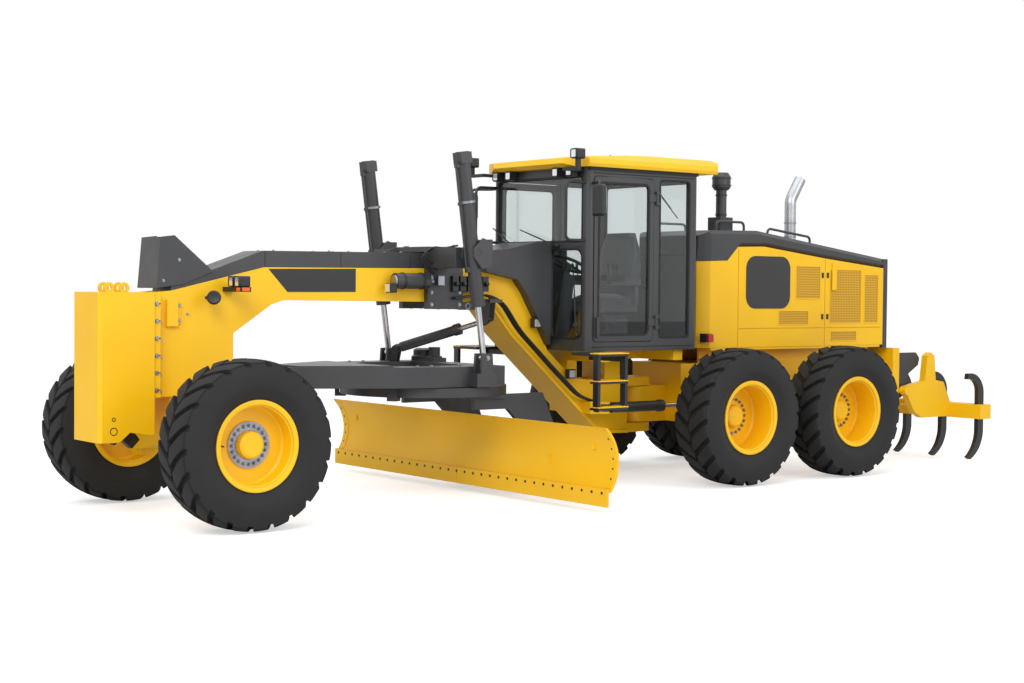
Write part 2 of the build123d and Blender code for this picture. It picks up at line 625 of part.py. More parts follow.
def moldboard():
    """Curved blade with its slide bars and the rod of the shift ram."""
    y0 = BLADE_MID_Y - BLADE_LENGTH / 2
    y1 = BLADE_MID_Y + BLADE_LENGTH / 2
    low = BLADE_BOTTOM_Z + 120
    high = BLADE_BOTTOM_Z + BLADE_HEIGHT
    mid = (low + high) / 2
    thick = 25.0
    sag = 85.0
    with BuildSketch(Plane.XZ) as section:
        with BuildLine():
            a = ThreePointArc((BLADE_X - 20, low), (BLADE_X - 20 - sag, mid), (BLADE_X + 30, high))
            b = ThreePointArc((BLADE_X - 20 - thick, low), (BLADE_X - 20 - sag - thick, mid), (BLADE_X + 30 - thick, high))
            Line(a @ 0, b @ 0)
            Line(a @ 1, b @ 1)
        make_face()
    shape = Pos(0, y1, 0) * extrude(section.sketch, amount=BLADE_LENGTH)
    for z in SLIDE_Z:
        shape += block(behind(210), behind(155), y0 + 250, y1 - 250, z - 30, z + 30)
        shape += block(behind(170), behind(70), y0 + 250, y0 + 290, z - 25, z + 25)
        shape += block(behind(170), behind(70), y1 - 290, y1 - 250, z - 25, z + 25)
    lug_y = SHIFT_LUG_Y
    piston_y = lug_y - SHIFT_ROD
    shape += block(behind(245), behind(90), lug_y - 15, lug_y + 15, SHIFT_Z - 45, SHIFT_Z + 45)
    shape += bar((SHIFT_X, lug_y, SHIFT_Z), (SHIFT_X, piston_y, SHIFT_Z), 22)
    shape += bar((SHIFT_X, piston_y, SHIFT_Z), (SHIFT_X, piston_y + 40, SHIFT_Z), 32 - FIT)
    return shape


def cutting_edges():
    """Two bolted cutting edges along the blade's foot."""
    y0 = BLADE_MID_Y - BLADE_LENGTH / 2
    x = BLADE_X - 20
    shape = None
    for k in range(2):
        start = y0 + k * BLADE_LENGTH / 2
        piece = plate_xz([(x + SEAT_GAP, BLADE_BOTTOM_Z), (x + 20, BLADE_BOTTOM_Z), (x + 20, BLADE_BOTTOM_Z + 152),
                          (x + SEAT_GAP, BLADE_BOTTOM_Z + 152)], start + 1, start + BLADE_LENGTH / 2 - 1)
        shape = piece if shape is None else shape + piece
    return shape


# ------------------------------------------------------------ saddle
def saddle():
    """Collar on the gooseneck with the forks of the lift rams and the lock bar below."""
    x0 = back(2720)
    x1 = back(2330)
    inner = FRAME_HALF
    shape = block(x0, x1, -inner - 60, -inner, 1700, 2260) + block(x0, x1, inner, inner + 60, 1700, 2260)
    shape += block(x0, x1, -inner - 60, inner + 60, 2214, 2262)
    for side in (1, -1):
        shape += block(back(2560), back(2330), side * inner, side * (LIFT_Y - 95), 2070, 2250)
        for y0 in (LIFT_Y - 96, LIFT_Y + 74):
            shape += plate_xz([(back(2575), 2080), (back(2575), 2300), (back(2490), 2330), (back(2390), 2240),
                               (back(2390), 2160), (back(2480), 2060)], side * y0, side * (y0 + 22))
        shape += block(back(2590), back(2560), side * (LIFT_Y - 96), side * (LIFT_Y + 96), 2080, 2320)
        shape -= bar((LIFT_PIN[0], side * (LIFT_Y - 100), LIFT_PIN[2]), (LIFT_PIN[0], side * (LIFT_Y + 100), LIFT_PIN[2]),
                     30 + FIT)
    # links and lock bar below the beam
    for side in (1, -1):
        link = [
            (back(2400), 1760), (back(2700), 1760), (back(2940), 1748), (back(2990), 1735), (back(2990), 1692),
            (back(2700), 1692),
        ]
        shape += plate_xz(link, side * (inner + 15), side * (inner + 45))
    shape += block(back(2980), back(2880), -inner - 45, inner + 45, 1692, 1732)
    # hanger that stands clear round the side ram's eye
    shape += block(back(2944), back(2880), inner + 15, inner + 45, 1692, 1790)
    shape += block(back(3000), back(2860), inner + 35, SIDE_EYE[1] + 130, 1760, 1790)
    shape += clevis(SIDE_EYE, side_axis(), (0, 0.2, 1), 62, 18, 34, 190, 0)
    return shape


# ------------------------------------------------------------ cab

def cab_shell():
    """Hollow cab body with its door, side, front and rear openings cut."""
    outside = block(CAB_REAR_X, CAB_FRONT_X, -CAB_HALF, CAB_HALF, CAB_FLOOR_Z, CAB_TOP_Z)
    shape = fillet(outside.edges().filter_by(Axis.Z), 55)
    shape -= block(CAB_REAR_X + WALL, CAB_FRONT_X - WALL, -CAB_HALF + WALL, CAB_HALF - WALL,
                   CAB_FLOOR_Z + WALL, CAB_TOP_Z + 1)
    wide = CAB_HALF + 1
    shape -= rounded_xz(DOOR_X0, DOOR_X1, -wide, wide, DOOR_Z0, DOOR_Z1, 40)
    shape -= rounded_xz(QUARTER_X0, QUARTER_X1, -wide, wide, QUARTER_Z0, DOOR_Z1, 40)
    shape -= rounded_yz(CAB_FRONT_X - 100, CAB_FRONT_X + 1, -GLASS_HALF, GLASS_HALF, 2330, DOOR_Z1, 50)
    for side in (1, -1):
        shape -= rounded_yz(CAB_FRONT_X - 100, CAB_FRONT_X + 1, side * 150, side * GLASS_HALF, 1420, 2270, 90)
    shape -= rounded_yz(CAB_REAR_X - 1, CAB_REAR_X + 100, -GLASS_HALF, GLASS_HALF, 2230, DOOR_Z1, 50)
    # door hinges: two knuckles and a pin at each height
    for side in (1, -1):
        y = side * DOOR_HINGE_Y
        for z in DOOR_HINGE_Z:
            for z0 in (z - 66, z + 36):
                shape += bar((DOOR_HINGE_X, y, z0), (DOOR_HINGE_X, y, z0 + 30), 13)
                shape += block(DOOR_HINGE_X - 45, DOOR_HINGE_X, side * (CAB_HALF - 1), y, z0, z0 + 30)
            shape += bar((DOOR_HINGE_X, y, z - 60), (DOOR_HINGE_X, y, z + 60), 8)
    return shape


def cab_roof():
    """Roof cap: crowned lengthwise and across, with its front corners cut back for the lamps."""
    side = [
        (back(3640), 3062), (back(3668), 3118), (back(4300), 3160), (back(4900), 3184), (back(5440), 3180),
        (back(5505), 3150), (back(5500), 3050), (back(5430), CAB_TOP_Z), (back(3700), CAB_TOP_Z),
    ]
    front = [(755, CAB_TOP_Z), (770, 3060), (765, 3105), (640, 3172), (300, 3190)]
    plan = [(back(3630), 500), (back(3770), 775), (back(5420), 775), (back(5510), 690)]
    shape = plate_xz(side, -800, 800)
    shape &= plate_yz(front + [(-y, z) for y, z in reversed(front)], back(5600), back(3600))
    shape &= plate_xy(plan + [(x, -y) for x, y in reversed(plan)], 3000, 3300)
    return shape


def cab_glass():
    """Fixed panes: windscreen, lower front, quarter and rear windows."""
    x = CAB_FRONT_X - 26
    shape = rounded_yz(x, x + 6, -GLASS_HALF, GLASS_HALF, 2330, DOOR_Z1, 50)
    y = CAB_HALF - 22
    for side in (1, -1):
        shape += rounded_yz(x, x + 6, side * 150, side * GLASS_HALF, 1420, 2270, 90)
        shape += rounded_xz(QUARTER_X0, QUARTER_X1, side * y, side * (y + 6), QUARTER_Z0, DOOR_Z1, 40)
    x = CAB_REAR_X + 20
    shape += rounded_yz(x, x + 6, -GLASS_HALF, GLASS_HALF, 2230, DOOR_Z1, 50)
    return shape


def door(side):
    """Door frame with its pane and pull handle; it swings on two hinges at its rear edge."""
    x0 = DOOR_X0 + MOVE_GAP
    x1 = DOOR_X1 - MOVE_GAP
    z0 = DOOR_Z0 + MOVE_GAP
    z1 = DOOR_Z1 - MOVE_GAP
    y0 = CAB_HALF - 38
    y1 = CAB_HALF + 4
    frame = rounded_xz(x0, x1, y0, y1, z0, z1, 34) - rounded_xz(x0 + 55, x1 - 55, y0 - 1, y1 + 1, z0 + 60, z1 - 55, 60)
    for z in DOOR_HINGE_Z:
        frame += block(DOOR_HINGE_X, x0 + 60, y1 - 1, y1 + 8, z - 35, z + 35)
        frame += bar((DOOR_HINGE_X, DOOR_HINGE_Y, z - 35), (DOOR_HINGE_X, DOOR_HINGE_Y, z + 35), 13)
        frame -= bar((DOOR_HINGE_X, DOOR_HINGE_Y, z - 36), (DOOR_HINGE_X, DOOR_HINGE_Y, z + 36), 8 + FIT)
    frame += rounded_xz(x1 - 50, x1 - 20, y1 - 1, y1 + 30, z0 + 40, z0 + 230, 14)
    glass = rounded_xz(x0 + 55, x1 - 55, y1 - 18, y1 - 12, z0 + 60, z1 - 55, 60)
    shape = frame + glass
    return shape if side > 0 else other_side(shape)


def cab_seat():
    """Driver's seat: pedestal, cushion, tapered back and two arm rests."""
    x = back(4620)
    floor = CAB_FLOOR_Z + WALL
    shape = block(x - 170, x + 170, -170, 170, floor, floor + 300)
    cushion = block(x - 260, x + 260, -250, 250, floor + 300, floor + 430)
    shape += fillet(cushion.edges().filter_by(Axis.Z), 60)
    backrest = [
        (x - 230, floor + 420), (x - 110, floor + 420), (x - 130, floor + 640), (x - 185, floor + 1080),
        (x - 265, floor + 1080), (x - 290, floor + 900),
    ]
    width = plate_yz([(-240, floor + 420), (240, floor + 420), (250, floor + 760), (170, floor + 1080),
                      (-170, floor + 1080), (-250, floor + 760)], x - 300, x - 100)
    shape += plate_xz(backrest, -250, 250) & width
    for side in (1, -1):
        shape += block(x - 200, x + 200, side * 262, side * 330, floor + 560, floor + 620)
        shape += block(x - 200, x - 150, side * 240, side * 300, floor + 380, floor + 600)
    return shape


def cab_console():
    """Steering column with wheel, and the side pods."""
    x = back(3980)
    floor = CAB_FLOOR_Z + WALL
    shape = plate_xz([(x + 60, floor), (x - 120, floor), (x - 190, floor + 640), (x - 60, floor + 700)], -90, 90)
    wheel = Pos(x - 190, 0, floor + 760) * Rot(0, -25, 0) * Torus(180, 16)
    shape += wheel
    shape += Pos(x - 190, 0, floor + 760) * Rot(0, -25, 0) * Box(360, 40, 16)
    shape += bar((x - 125, 0, floor + 600), (x - 190, 0, floor + 760), 40)
    return shape


# ------------------------------------------------------------ trim on the front frame
def lamps():
    """Head lamps on their bar, and the work lamps at the roof's corners and under its front edge."""
    shape = block(back(400), back(300), -470, 470, 1845, 1885)
    shape -= block(back(401), back(299), -FRAME_HALF, FRAME_HALF, 1800, 1900)
    for side in (1, -1):
        for y in (330.0, 430.0):
            body = block(back(390), back(310), side * (y - 42), side * (y + 42), 1884, 1975)
            shape += fillet(body.edges().filter_by(Axis.X), 18)
            shape += bar((back(340), side * y, 1930), (back(292), side * y, 1930), 36)
        for y in (360.0, 560.0):
            shape += block(back(3765), back(3695), side * (y - 45), side * (y + 45), 2940, CAB_TOP_Z)
        # corner lamp on its bracket from the cab's front post
        body = block(back(3640), back(3545), side * 765, side * 855, 3085, 3180)
        shape += fillet(body.edges().filter_by(Axis.X), 18)
        shape += block(CAB_FRONT_X, back(3570), side * 610, side * 650, 2985, 3015)
        shape += block(back(3610), back(3570), side * 610, side * 830, 2985, 3015)
        shape += block(back(3610), back(3570), side * 795, side * 830, 2985, 3090)
    return shape


def rails_and_steps():
    """Ladders, platforms, mirrors and front hand rails."""
    left = None
    for distance in (3600.0, 3930.0):
        side_rail = [
            (back(distance), 1310), (back(distance + 32), 1310), (back(distance + 32), 800),
            (back(distance + 16), 775), (back(distance), 800),
        ]
        stringer = plate_xz(side_rail, 1040, 1110)
        left = stringer if left is None else left + stringer
    for z in (790.0, 1030.0, 1280.0):
        left += block(back(3960), back(3600), 1000, 1120, z, z + 25)
    left += block(back(4010), back(3600), CAB_HALF + 12, 1045, 1282, 1308)
    left += block(back(4010), back(3960), 560, 1045, 1225, 1285)
    left += block(back(4020), back(3960), 600, 660, 1225, 1285)
    # mirror on its arm
    arm = [(back(3850), CAB_HALF, 2880), (back(3850), 830, 2880), (back(3705), 975, 2880), (back(3705), 975, 2700)]
    left += tube(arm, 13, 40)
    head = block(back(3735), back(3680), 895, 1060, 2560, 2850)
    left += fillet(head.edges(), 24)
    # front hand rail
    foot = CAB_FRONT_X
    rail = [(foot, 675, 2345), (back(3550), 690, 2345), (back(3550), 690, 2885), (foot, 675, 2885)]
    left += tube(rail, 14, 60)
    return both_sides(left)


# ------------------------------------------------------------ rear frame and hood
def rear_frame():
    """Rear frame with its hinge block, rails, axle housing and ripper brackets."""
    shape = Pos(PIVOT_X, 0, 745) * Cylinder(145, 358)
    shape += block(back(5370), PIVOT_X, -145, 145, 566, 924)
    shape += block(back(5560), back(5350), -360, 360, 566, 1150)
    for side in (1, -1):
        rail = [
            (back(5550), 860), (back(6100), 860), (back(6200), 800), (back(7050), 800), (back(7150), 860),
            (back(8450), 900), (back(8450), 1150), (back(5550), 1150),
        ]
        shape += plate_xz(rail, side * 280, side * 360)
    for distance in (6000.0, 7000.0, 8200.0):
        shape += block(back(distance + 150), back(distance), -300, 300, 910, 1120)
    shape += block(back(8450), back(8340), -600, 600, 700, 1270)
    shape += block(TANDEM_MID_X - 160, TANDEM_MID_X + 160, -300, 300, 700, 1000)
    shape += bar((TANDEM_MID_X, -TANDEM_INNER, WHEEL_Z), (TANDEM_MID_X, TANDEM_INNER, WHEEL_Z), 165)
    # lugs for the articulation rams
    for eye in (ARTIC_EYE, flip_y(ARTIC_EYE)):
        inward = (0, -1 if eye[1] > 0 else 1, 0)
        shape += clevis(eye, (0, 0, 1), inward, 36, 22, 45, 110, 0)
    # dark brackets that carry the ripper's hinge and stand back past it
    bracket = [
        (back(8440), 1215), (back(8760), 1215), (back(8820), 1150), (back(8800), 1075), (back(8640), 985),
        (back(8575), 830), (back(8555), 745), (back(8500), 715), (back(8440), 715),
    ]
    for side in (1, -1):
        shape += plate_xz(bracket, side * 540, side * 580)
        hinge = (RIPPER_HINGE[0], side * 530, RIPPER_HINGE[2])
        shape -= bar(hinge, (RIPPER_HINGE[0], side * 590, RIPPER_HINGE[2]), 30 + FIT)
    # carrier of the ripper's ram
    shape += block(back(8450), back(8400), -110, 110, 1240, 1365)
    shape += clevis(RIPPER_PIN, (0, 1, 0), (1, 0, 0), 36, 22, 42, 60, 22)
    shape -= bar((PIVOT_X, 0, 500), (PIVOT_X, 0, 1000), 55 + FIT)
    return shape


def tandem_cases():
    """Tandem cases with the wheels' spindles."""
    outer = TANDEM_INNER + 150
    case = block(TANDEM_REAR_X, TANDEM_FRONT_X, TANDEM_INNER, outer, WHEEL_Z - 175, WHEEL_Z + 175)
    waist = [(TANDEM_MID_X - 420, WHEEL_Z + 176), (TANDEM_MID_X - 300, WHEEL_Z + 150),
             (TANDEM_MID_X + 300, WHEEL_Z + 150), (TANDEM_MID_X + 420, WHEEL_Z + 176)]
    case -= plate_xz(waist, TANDEM_INNER - 1, outer + 1)
    for x in (TANDEM_FRONT_X, TANDEM_REAR_X):
        case += bar((x, TANDEM_INNER, WHEEL_Z), (x, outer, WHEEL_Z), 175)
        case += bar((x, outer - 5, WHEEL_Z), (x, WHEEL_Y + REAR_DISC - 80, WHEEL_Z), 95)
        case += bar((x, outer - 5, WHEEL_Z), (x, WHEEL_Y + REAR_DISC - 1, WHEEL_Z), HUB_BORE_R - FIT)
    return both_sides(case)


def engine_block():
    """Engine as one plain block on the frame's rails."""
    return block(back(7700), back(6350), -320, 320, 1150, 2000)




def hood_section(half, front_cut, inset):
    """Plan of the hood, with its front corners cut back."""
    front = back(HOOD_FRONT) - inset
    rear = back(HOOD_REAR) + inset
    corner = front_cut
    return [
        (rear, -half), (rear, half), (front - corner, half), (front, half - corner),
        (front, -half + corner), (front - corner, -half),
    ]


def screen(x0, x1, z0, z1, pitch):
    """Slats that fill one screen opening in the hood's left side."""
    count = round((z1 - z0) / pitch)
    step = (z1 - z0) / count
    shape = None
    for k in range(count):
        z = z0 + (k + 0.5) * step
        slat = [(HOOD_HALF - 27, z - 4), (HOOD_HALF - 5, z - 14), (HOOD_HALF - 5, z - 6), (HOOD_HALF - 27, z + 14)]
        piece = plate_yz(slat, back(x1) - 1, back(x0) + 1)
        shape = piece if shape is None else shape + piece
    return shape


def hood():
    """Side doors and lower walls of the hood, with their screens and the gaps between the doors."""
    skin = 30.0
    body = plate_xy(hood_section(HOOD_HALF, 100, 0), HOOD_BASE_Z, 2400)
    body -= plate_xy(hood_section(HOOD_HALF - skin, 90, skin), HOOD_BASE_Z - 1, 2401)
    low = HOOD_BASE_Z - 5
    keep = [(back(d), z) for d, z in BAND]
    keep = [(back(5400), 2180)] + keep + [(back(8300), 2140), (back(8300), low), (back(5400), low)]
    body &= plate_xz(keep, -HOOD_HALF - 10, HOOD_HALF + 10)
    gap = 4.0
    for side in (1, -1):
        for x0, x1, z0, z1 in SCREENS:
            body -= block(back(x0), back(x1), side * (HOOD_HALF - 40), side * (HOOD_HALF + 1), z0, z1)
            slats = screen(x0, x1, z0, z1, 48)
            body += slats if side > 0 else other_side(slats)
        face = (side * (HOOD_HALF - 8), side * (HOOD_HALF + 1))
        for x in (5980, 7290):
            body -= block(back(x + gap), back(x - gap), *face, HOOD_BASE_Z - 1, 2400)
        body -= block(back(8200), back(5980), *face, 1500 - gap, 1500 + gap)
        body += block(back(8200), back(5600), side * 335, side * (HOOD_HALF - 5), 1285, 1315)
        body += block(back(8200), back(5600), side * 335, side * 360, 1150, 1290)
    return body


def hood_covers():
    """Dark top of the hood, rear radiator frame, intake stack and top rails."""
    low = [(back(d), z + SEAT_GAP) for d, z in BAND]
    roof = [(HOOD_REAR, 2255), (7250, 2382), (6270, 2507), (5600, 2495), (5500, 2440)]
    cap = plate_xz(low + [(back(d), z) for d, z in roof], -HOOD_HALF, HOOD_HALF)
    shoulders = [e for e in cap.edges().filter_by(Axis.Y, reverse=True) if e.center().Z > 2256]
    cap = chamfer([e for e in shoulders if e.length > 300], 38)
    inner = [(back(d), z - 25) for d, z in ((HOOD_REAR - 30, 2255), (7250, 2382), (6270, 2507), (5610, 2495), (5530, 2450))]
    cap -= plate_xz([(back(HOOD_REAR - 30), 2000)] + inner + [(back(5530), 2000)], -HOOD_HALF + 60, HOOD_HALF - 60)
    corner = [(back(5470), HOOD_HALF + 1), (back(5590), HOOD_HALF + 1), (back(5470), HOOD_HALF - 119)]
    cap -= both_sides(plate_xy(corner, 2100, 2600))
    # rear frame round the radiator, with its slats
    rear_x = back(HOOD_REAR + 100)
    frame_z = (1275.0, 2250.0)
    opening_half = HOOD_HALF - 90
    rear = block(rear_x, back(HOOD_REAR), -HOOD_HALF, HOOD_HALF, *frame_z)
    rear = chamfer(rear.edges().filter_by(Axis.Z).sort_by(Axis.X)[:2], 30)
    rear -= block(rear_x - 1, back(HOOD_REAR) + 1, -opening_half, opening_half, frame_z[0] + 125, frame_z[1] - 100)
    for k in range(9):
        z = frame_z[0] + 165 + k * 80
        rear += block(rear_x + 30, rear_x + 60, -opening_half - 5, opening_half + 5, z, z + 25)
    shape = cap + rear
    shape -= bar((EXHAUST_X, 0, 2200), (EXHAUST_X, 0, 2600), EXHAUST_R + 10)
    # air intake with its pre-cleaner
    intake = (back(6000), 250)
    shape += bar((*intake, 2480), (*intake, 2990), 55)
    bowl = [(0, 2920), (70, 2920), (95, 2950), (95, 3060), (70, 3100), (0, 3100)]
    shape += turned_z(bowl, (*intake, 0))
    shape += block(back(6080), back(5900), 160, 340, 2470, 2640)
    # top rails, each one bent tube
    for x0, x1, z0, z1 in ((5750, 6150, 2480, 2590), (6500, 7150, 2450, 2540)):
        for side in (1, -1):
            y = side * 430
            foot = 2507 - 0.1275 * (x1 - 6270) - 20 if x1 > 6270 else 2480
            shape += tube([(back(x0), y, z0), (back(x0), y, z1), (back(x1), y, z1 - (z0 - foot)), (back(x1), y, foot)], 13, 45)
    return shape


def exhaust():
    """Exhaust stack with its open, bent tip."""
    path = [(EXHAUST_X, 0, 2000), (EXHAUST_X, 0, 2880), (EXHAUST_X - 150, 0, 3110)]
    shape = tube(path, EXHAUST_R, 150)
    run = (Vector(*path[2]) - Vector(*path[1])).normalized()
    tip = Vector(*path[2])
    return shape - bar(tip - run * 70, tip + run * 5, EXHAUST_R - 6)


# ------------------------------------------------------------ ripper
def ripper_frame():
    """Ripper arms, tool beam and ram tower."""
    shape = block(back(9430), back(9240), -1100, 1100, 480, 640)
    hinge = RIPPER_HINGE
    arm = [
        (back(8500), 752), (back(8620), 560), (back(8760), 490), (back(9260), 490), (back(9260), 640),
        (back(9130), 880), (back(8990), 905), (back(8960), 1180), (back(8900), 1215), (back(8840), 1180),
        (back(8800), 900), (back(8500), 848),
    ]
    for side in (1, -1):
        y0 = RIPPER_ARM_Y - 40
        y1 = RIPPER_ARM_Y + 40
        shape += plate_xz(arm, side * y0, side * y1)
        shape += bar((hinge[0], side * y0, hinge[2]), (hinge[0], side * y1, hinge[2]), 48)
        shape += bar((hinge[0], side * 530, hinge[2]), (hinge[0], side * (y0 + 5), hinge[2]), 30)
    shape += block(back(9120), back(8990), -RIPPER_ARM_Y, RIPPER_ARM_Y, 500, 600)
    eye_x, _, eye_z = RIPPER_EYE
    tower = [(eye_x - 60, 590), (eye_x - 34, eye_z + 34), (eye_x + 34, eye_z + 34), (eye_x + 66, 590)]
    for side in (1, -1):
        shape += plate_xz(tower, side * 37, side * 62)
    for y in RIPPER_SHANK_Y:
        shape -= block(back(9408), back(9262), y - 25.3, y + 25.3, 479, 641)
    return shape


def ripper_shanks():
    """Five shanks: straight in the beam, hooked forward above it and swept to a point below."""
    rear = back(9400)
    front = back(9300)
    with BuildSketch(Plane.XZ) as section:
        with BuildLine():
            a = Line((rear, 330), (rear, 780))
            b = ThreePointArc(a @ 1, (back(9330), 925), (back(9120), 985))
            c = Line(b @ 1, (back(9110), 925))
            d = ThreePointArc(c @ 1, (back(9262), 880), (front, 780))
            e = Line(d @ 1, (front, 330))
            f = ThreePointArc(e @ 1, (back(9265), 205), (back(9130), 55))
            g = Line(f @ 1, (back(9175), 30))
            ThreePointArc(g @ 1, (back(9345), 170), a @ 0)
        make_face()
    shape = None
    for y in RIPPER_SHANK_Y:
        piece = Pos(0, y + 25, 0) * extrude(section.sketch, amount=50)
        shape = piece if shape is None else shape + piece
    return shape


# ------------------------------------------------------------ all nodes
def main():
    os.makedirs("parts", exist_ok=True)
    save("main_frame", main_frame())
    save("frame_covers", frame_covers())
    save("push_block", push_block())
    save("front_axle", front_axle())
    save("lean_yoke_left", lean_yoke())
    save("lean_yoke_right", other_side(lean_yoke()))
    save("lean_bar", lean_bar())
    save("knuckle_left", knuckle())
    save("knuckle_right", other_side(knuckle()))
    save("tie_rod_joint", tie_rod_joint())
    save("tie_rod", tie_rod())
    lugged = tyre()
    wheels = (
        ("front", FRONT_AXLE_X, FRONT_DISC), ("middle", TANDEM_FRONT_X, REAR_DISC), ("rear", TANDEM_REAR_X, REAR_DISC),
    )
    for name, x, disc in wheels:
        for hand, side in (("left", 1), ("right", -1)):
            save(f"tyre_{name}_{hand}", Pos(x, side * WHEEL_Y, WHEEL_Z) * (lugged if side > 0 else other_side(lugged)))
            save(f"rim_{name}_{hand}", rim(x, side, disc))
    save("drawbar", drawbar())
    save("circle", circle())
    save("tilt_carrier", tilt_carrier())
    save("moldboard", moldboard())
    save("cutting_edges", cutting_edges())
    save("saddle", saddle())
    for hand, flip in (("left", lambda p: p), ("right", flip_y)):
        pin = flip(LIFT_PIN)
        eye = flip(LIFT_EYE)
        save(f"lift_barrel_{hand}", ram_barrel(pin, eye, (0, 1, 0), 60, -890, 475, 28, 30, 94, trunnion=True))
        save(f"lift_rod_{hand}", ram_rod(pin, eye, (0, 1, 0), 60, 28, 1250, 42, 28))
        pin = flip(ARTIC_PIN)
        eye = flip(ARTIC_EYE)
        save(f"artic_barrel_{hand}", ram_barrel(pin, eye, (0, 0, 1), 52, 64, 700, 25, 25, 30))
        save(f"artic_rod_{hand}", ram_rod(pin, eye, (0, 0, 1), 52, 25, 640, 42, 30))
    save("side_barrel", ram_barrel(SIDE_PIN, SIDE_EYE, side_axis(), 46, 52, 680, 24, 20, 28))
    save("side_rod", ram_rod(SIDE_PIN, SIDE_EYE, side_axis(), 46, 24, 620, 34, 26))
    save("tilt_barrel", ram_barrel(TILT_PIN, TILT_EYE, (0, 1, 0), 42, 52, 355, 20, 18, 28))
    save("tilt_rod", ram_rod(TILT_PIN, TILT_EYE, (0, 1, 0), 42, 20, 330, 30, 28))
    save("cab_shell", cab_shell())
    save("cab_roof", cab_roof())
    save("cab_glass", cab_glass())
    save("cab_seat", cab_seat())
    save("cab_console", cab_console())
    save("door_left", door(1))
    save("door_right", door(-1))
    save("lamps", lamps())
    save("rails_and_steps", rails_and_steps())
    save("rear_frame", rear_frame())
    save("tandem_cases", tandem_cases())
    save("engine_block", engine_block())
    save("hood", hood())
    save("hood_covers", hood_covers())
    save("exhaust", exhaust())
    save("ripper_frame", ripper_frame())
    save("ripper_shanks", ripper_shanks())
    save("ripper_barrel", ram_barrel(RIPPER_PIN, RIPPER_EYE, (0, 1, 0), 48, 52, 565, 24, 22, 30))
    save("ripper_rod", ram_rod(RIPPER_PIN, RIPPER_EYE, (0, 1, 0), 48, 24, 500, 34, 30))


if __name__ == "__main__":
    main()
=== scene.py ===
# %% [markdown]
# # A motor grader, dressed for its portrait
#
# The steel of this machine, its rams, wheels, cab walls and hood, comes from a CAD model, and that
# model is the fixed frame here. Blender never moves it. It gives each surface its finish, swaps the
# plain tyres for ones with a full tread, and adds the small things that people see from a few steps
# away: bolts, pipes, lamps, screens, seals.
#
# The frame is in metres: +X is forward, +Y is the machine's left, +Z is up.

# %% Load the frame
import json
import math

import bmesh
import bpy
import numpy as np
from mathutils import Matrix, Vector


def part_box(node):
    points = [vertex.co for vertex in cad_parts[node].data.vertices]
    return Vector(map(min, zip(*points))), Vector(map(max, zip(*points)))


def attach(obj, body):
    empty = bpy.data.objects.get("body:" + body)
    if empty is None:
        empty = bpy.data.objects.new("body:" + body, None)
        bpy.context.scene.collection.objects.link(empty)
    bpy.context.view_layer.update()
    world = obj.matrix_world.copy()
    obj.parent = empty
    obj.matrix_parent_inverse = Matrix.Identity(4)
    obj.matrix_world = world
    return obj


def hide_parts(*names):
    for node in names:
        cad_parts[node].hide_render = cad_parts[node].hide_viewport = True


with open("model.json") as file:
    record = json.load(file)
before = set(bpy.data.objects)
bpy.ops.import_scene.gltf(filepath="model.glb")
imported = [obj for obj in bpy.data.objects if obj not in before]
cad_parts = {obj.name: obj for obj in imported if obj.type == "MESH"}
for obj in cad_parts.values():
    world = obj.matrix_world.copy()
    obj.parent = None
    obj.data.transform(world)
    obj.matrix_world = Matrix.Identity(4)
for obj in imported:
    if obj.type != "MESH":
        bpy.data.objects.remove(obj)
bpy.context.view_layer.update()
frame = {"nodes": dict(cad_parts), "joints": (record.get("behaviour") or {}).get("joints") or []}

JOINT = {joint["name"]: joint for joint in frame["joints"]}

# %% [markdown]
# ## Stations along the machine
#
# Designers measure a grader from its front axle, so every station here is a distance behind it. The
# axle's own place is read from the wheel's joint, and other sizes from the boxes of the steel, so
# that what is added later sits where the steel is.

# %% Stations and sizes
AXLE = np.array(JOINT["roll_front_left"]["pos_m"])
BEAM_HALF = 0.170               # half of the main beam's width


def back(distance):
    """X of a station that lies a distance behind the front axle."""
    return float(AXLE[0]) - distance


def box_of(node):
    """Lowest and highest corner of a CAD piece."""
    return [np.array(corner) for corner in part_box(node)]


print("front axle at", AXLE)

# %% [markdown]
# ## Shapes as arrays
#
# A shape here is a pair: an array of points, and a list of face arrays that index into it. All the
# work on points is done on whole arrays, which is quick, and which reads like the geometry it makes.
# A shape becomes a Blender object only at the end, in `put`.

# %% Joining, moving and mirroring
def grid(points, wrap_rows=False, wrap_columns=False):
    """Skin over rows x columns of points: each quad joins (i, j), (i+1, j), (i+1, j+1), (i, j+1)."""
    rows, columns = points.shape[:2]
    i, j = np.meshgrid(
        np.arange(rows if wrap_rows else rows - 1),
        np.arange(columns if wrap_columns else columns - 1),
        indexing="ij",
    )
    i, j = i.ravel(), j.ravel()
    up, across = (i + 1) % rows, (j + 1) % columns
    quads = np.stack([i * columns + j, up * columns + j, up * columns + across, i * columns + across], axis=1)
    return points.reshape(-1, 3), [quads]


def joined(*shapes):
    """Several shapes as one: their points in a row, and their faces renumbered to match."""
    points, faces, start = [], [], 0
    for some, their_faces in shapes:
        points.append(some)
        faces.extend(face + start for face in their_faces)
        start += len(some)
    return np.concatenate(points), faces


def mirrored(shape):
    """The shape's mirror image across the middle of the machine, with its faces turned back out."""
    return shape[0] * np.array([1, -1, 1]), [face[:, ::-1] for face in shape[1]]


def both(*shapes):
    """Left-hand shapes together with their right-hand twins."""
    left = joined(*shapes)
    return joined(left, mirrored(left))


# %% Bars and flat frames
# where the columns a, b and level go, for each direction across
ORDER = {"x": [2, 0, 1], "y": [0, 2, 1], "z": [0, 1, 2]}


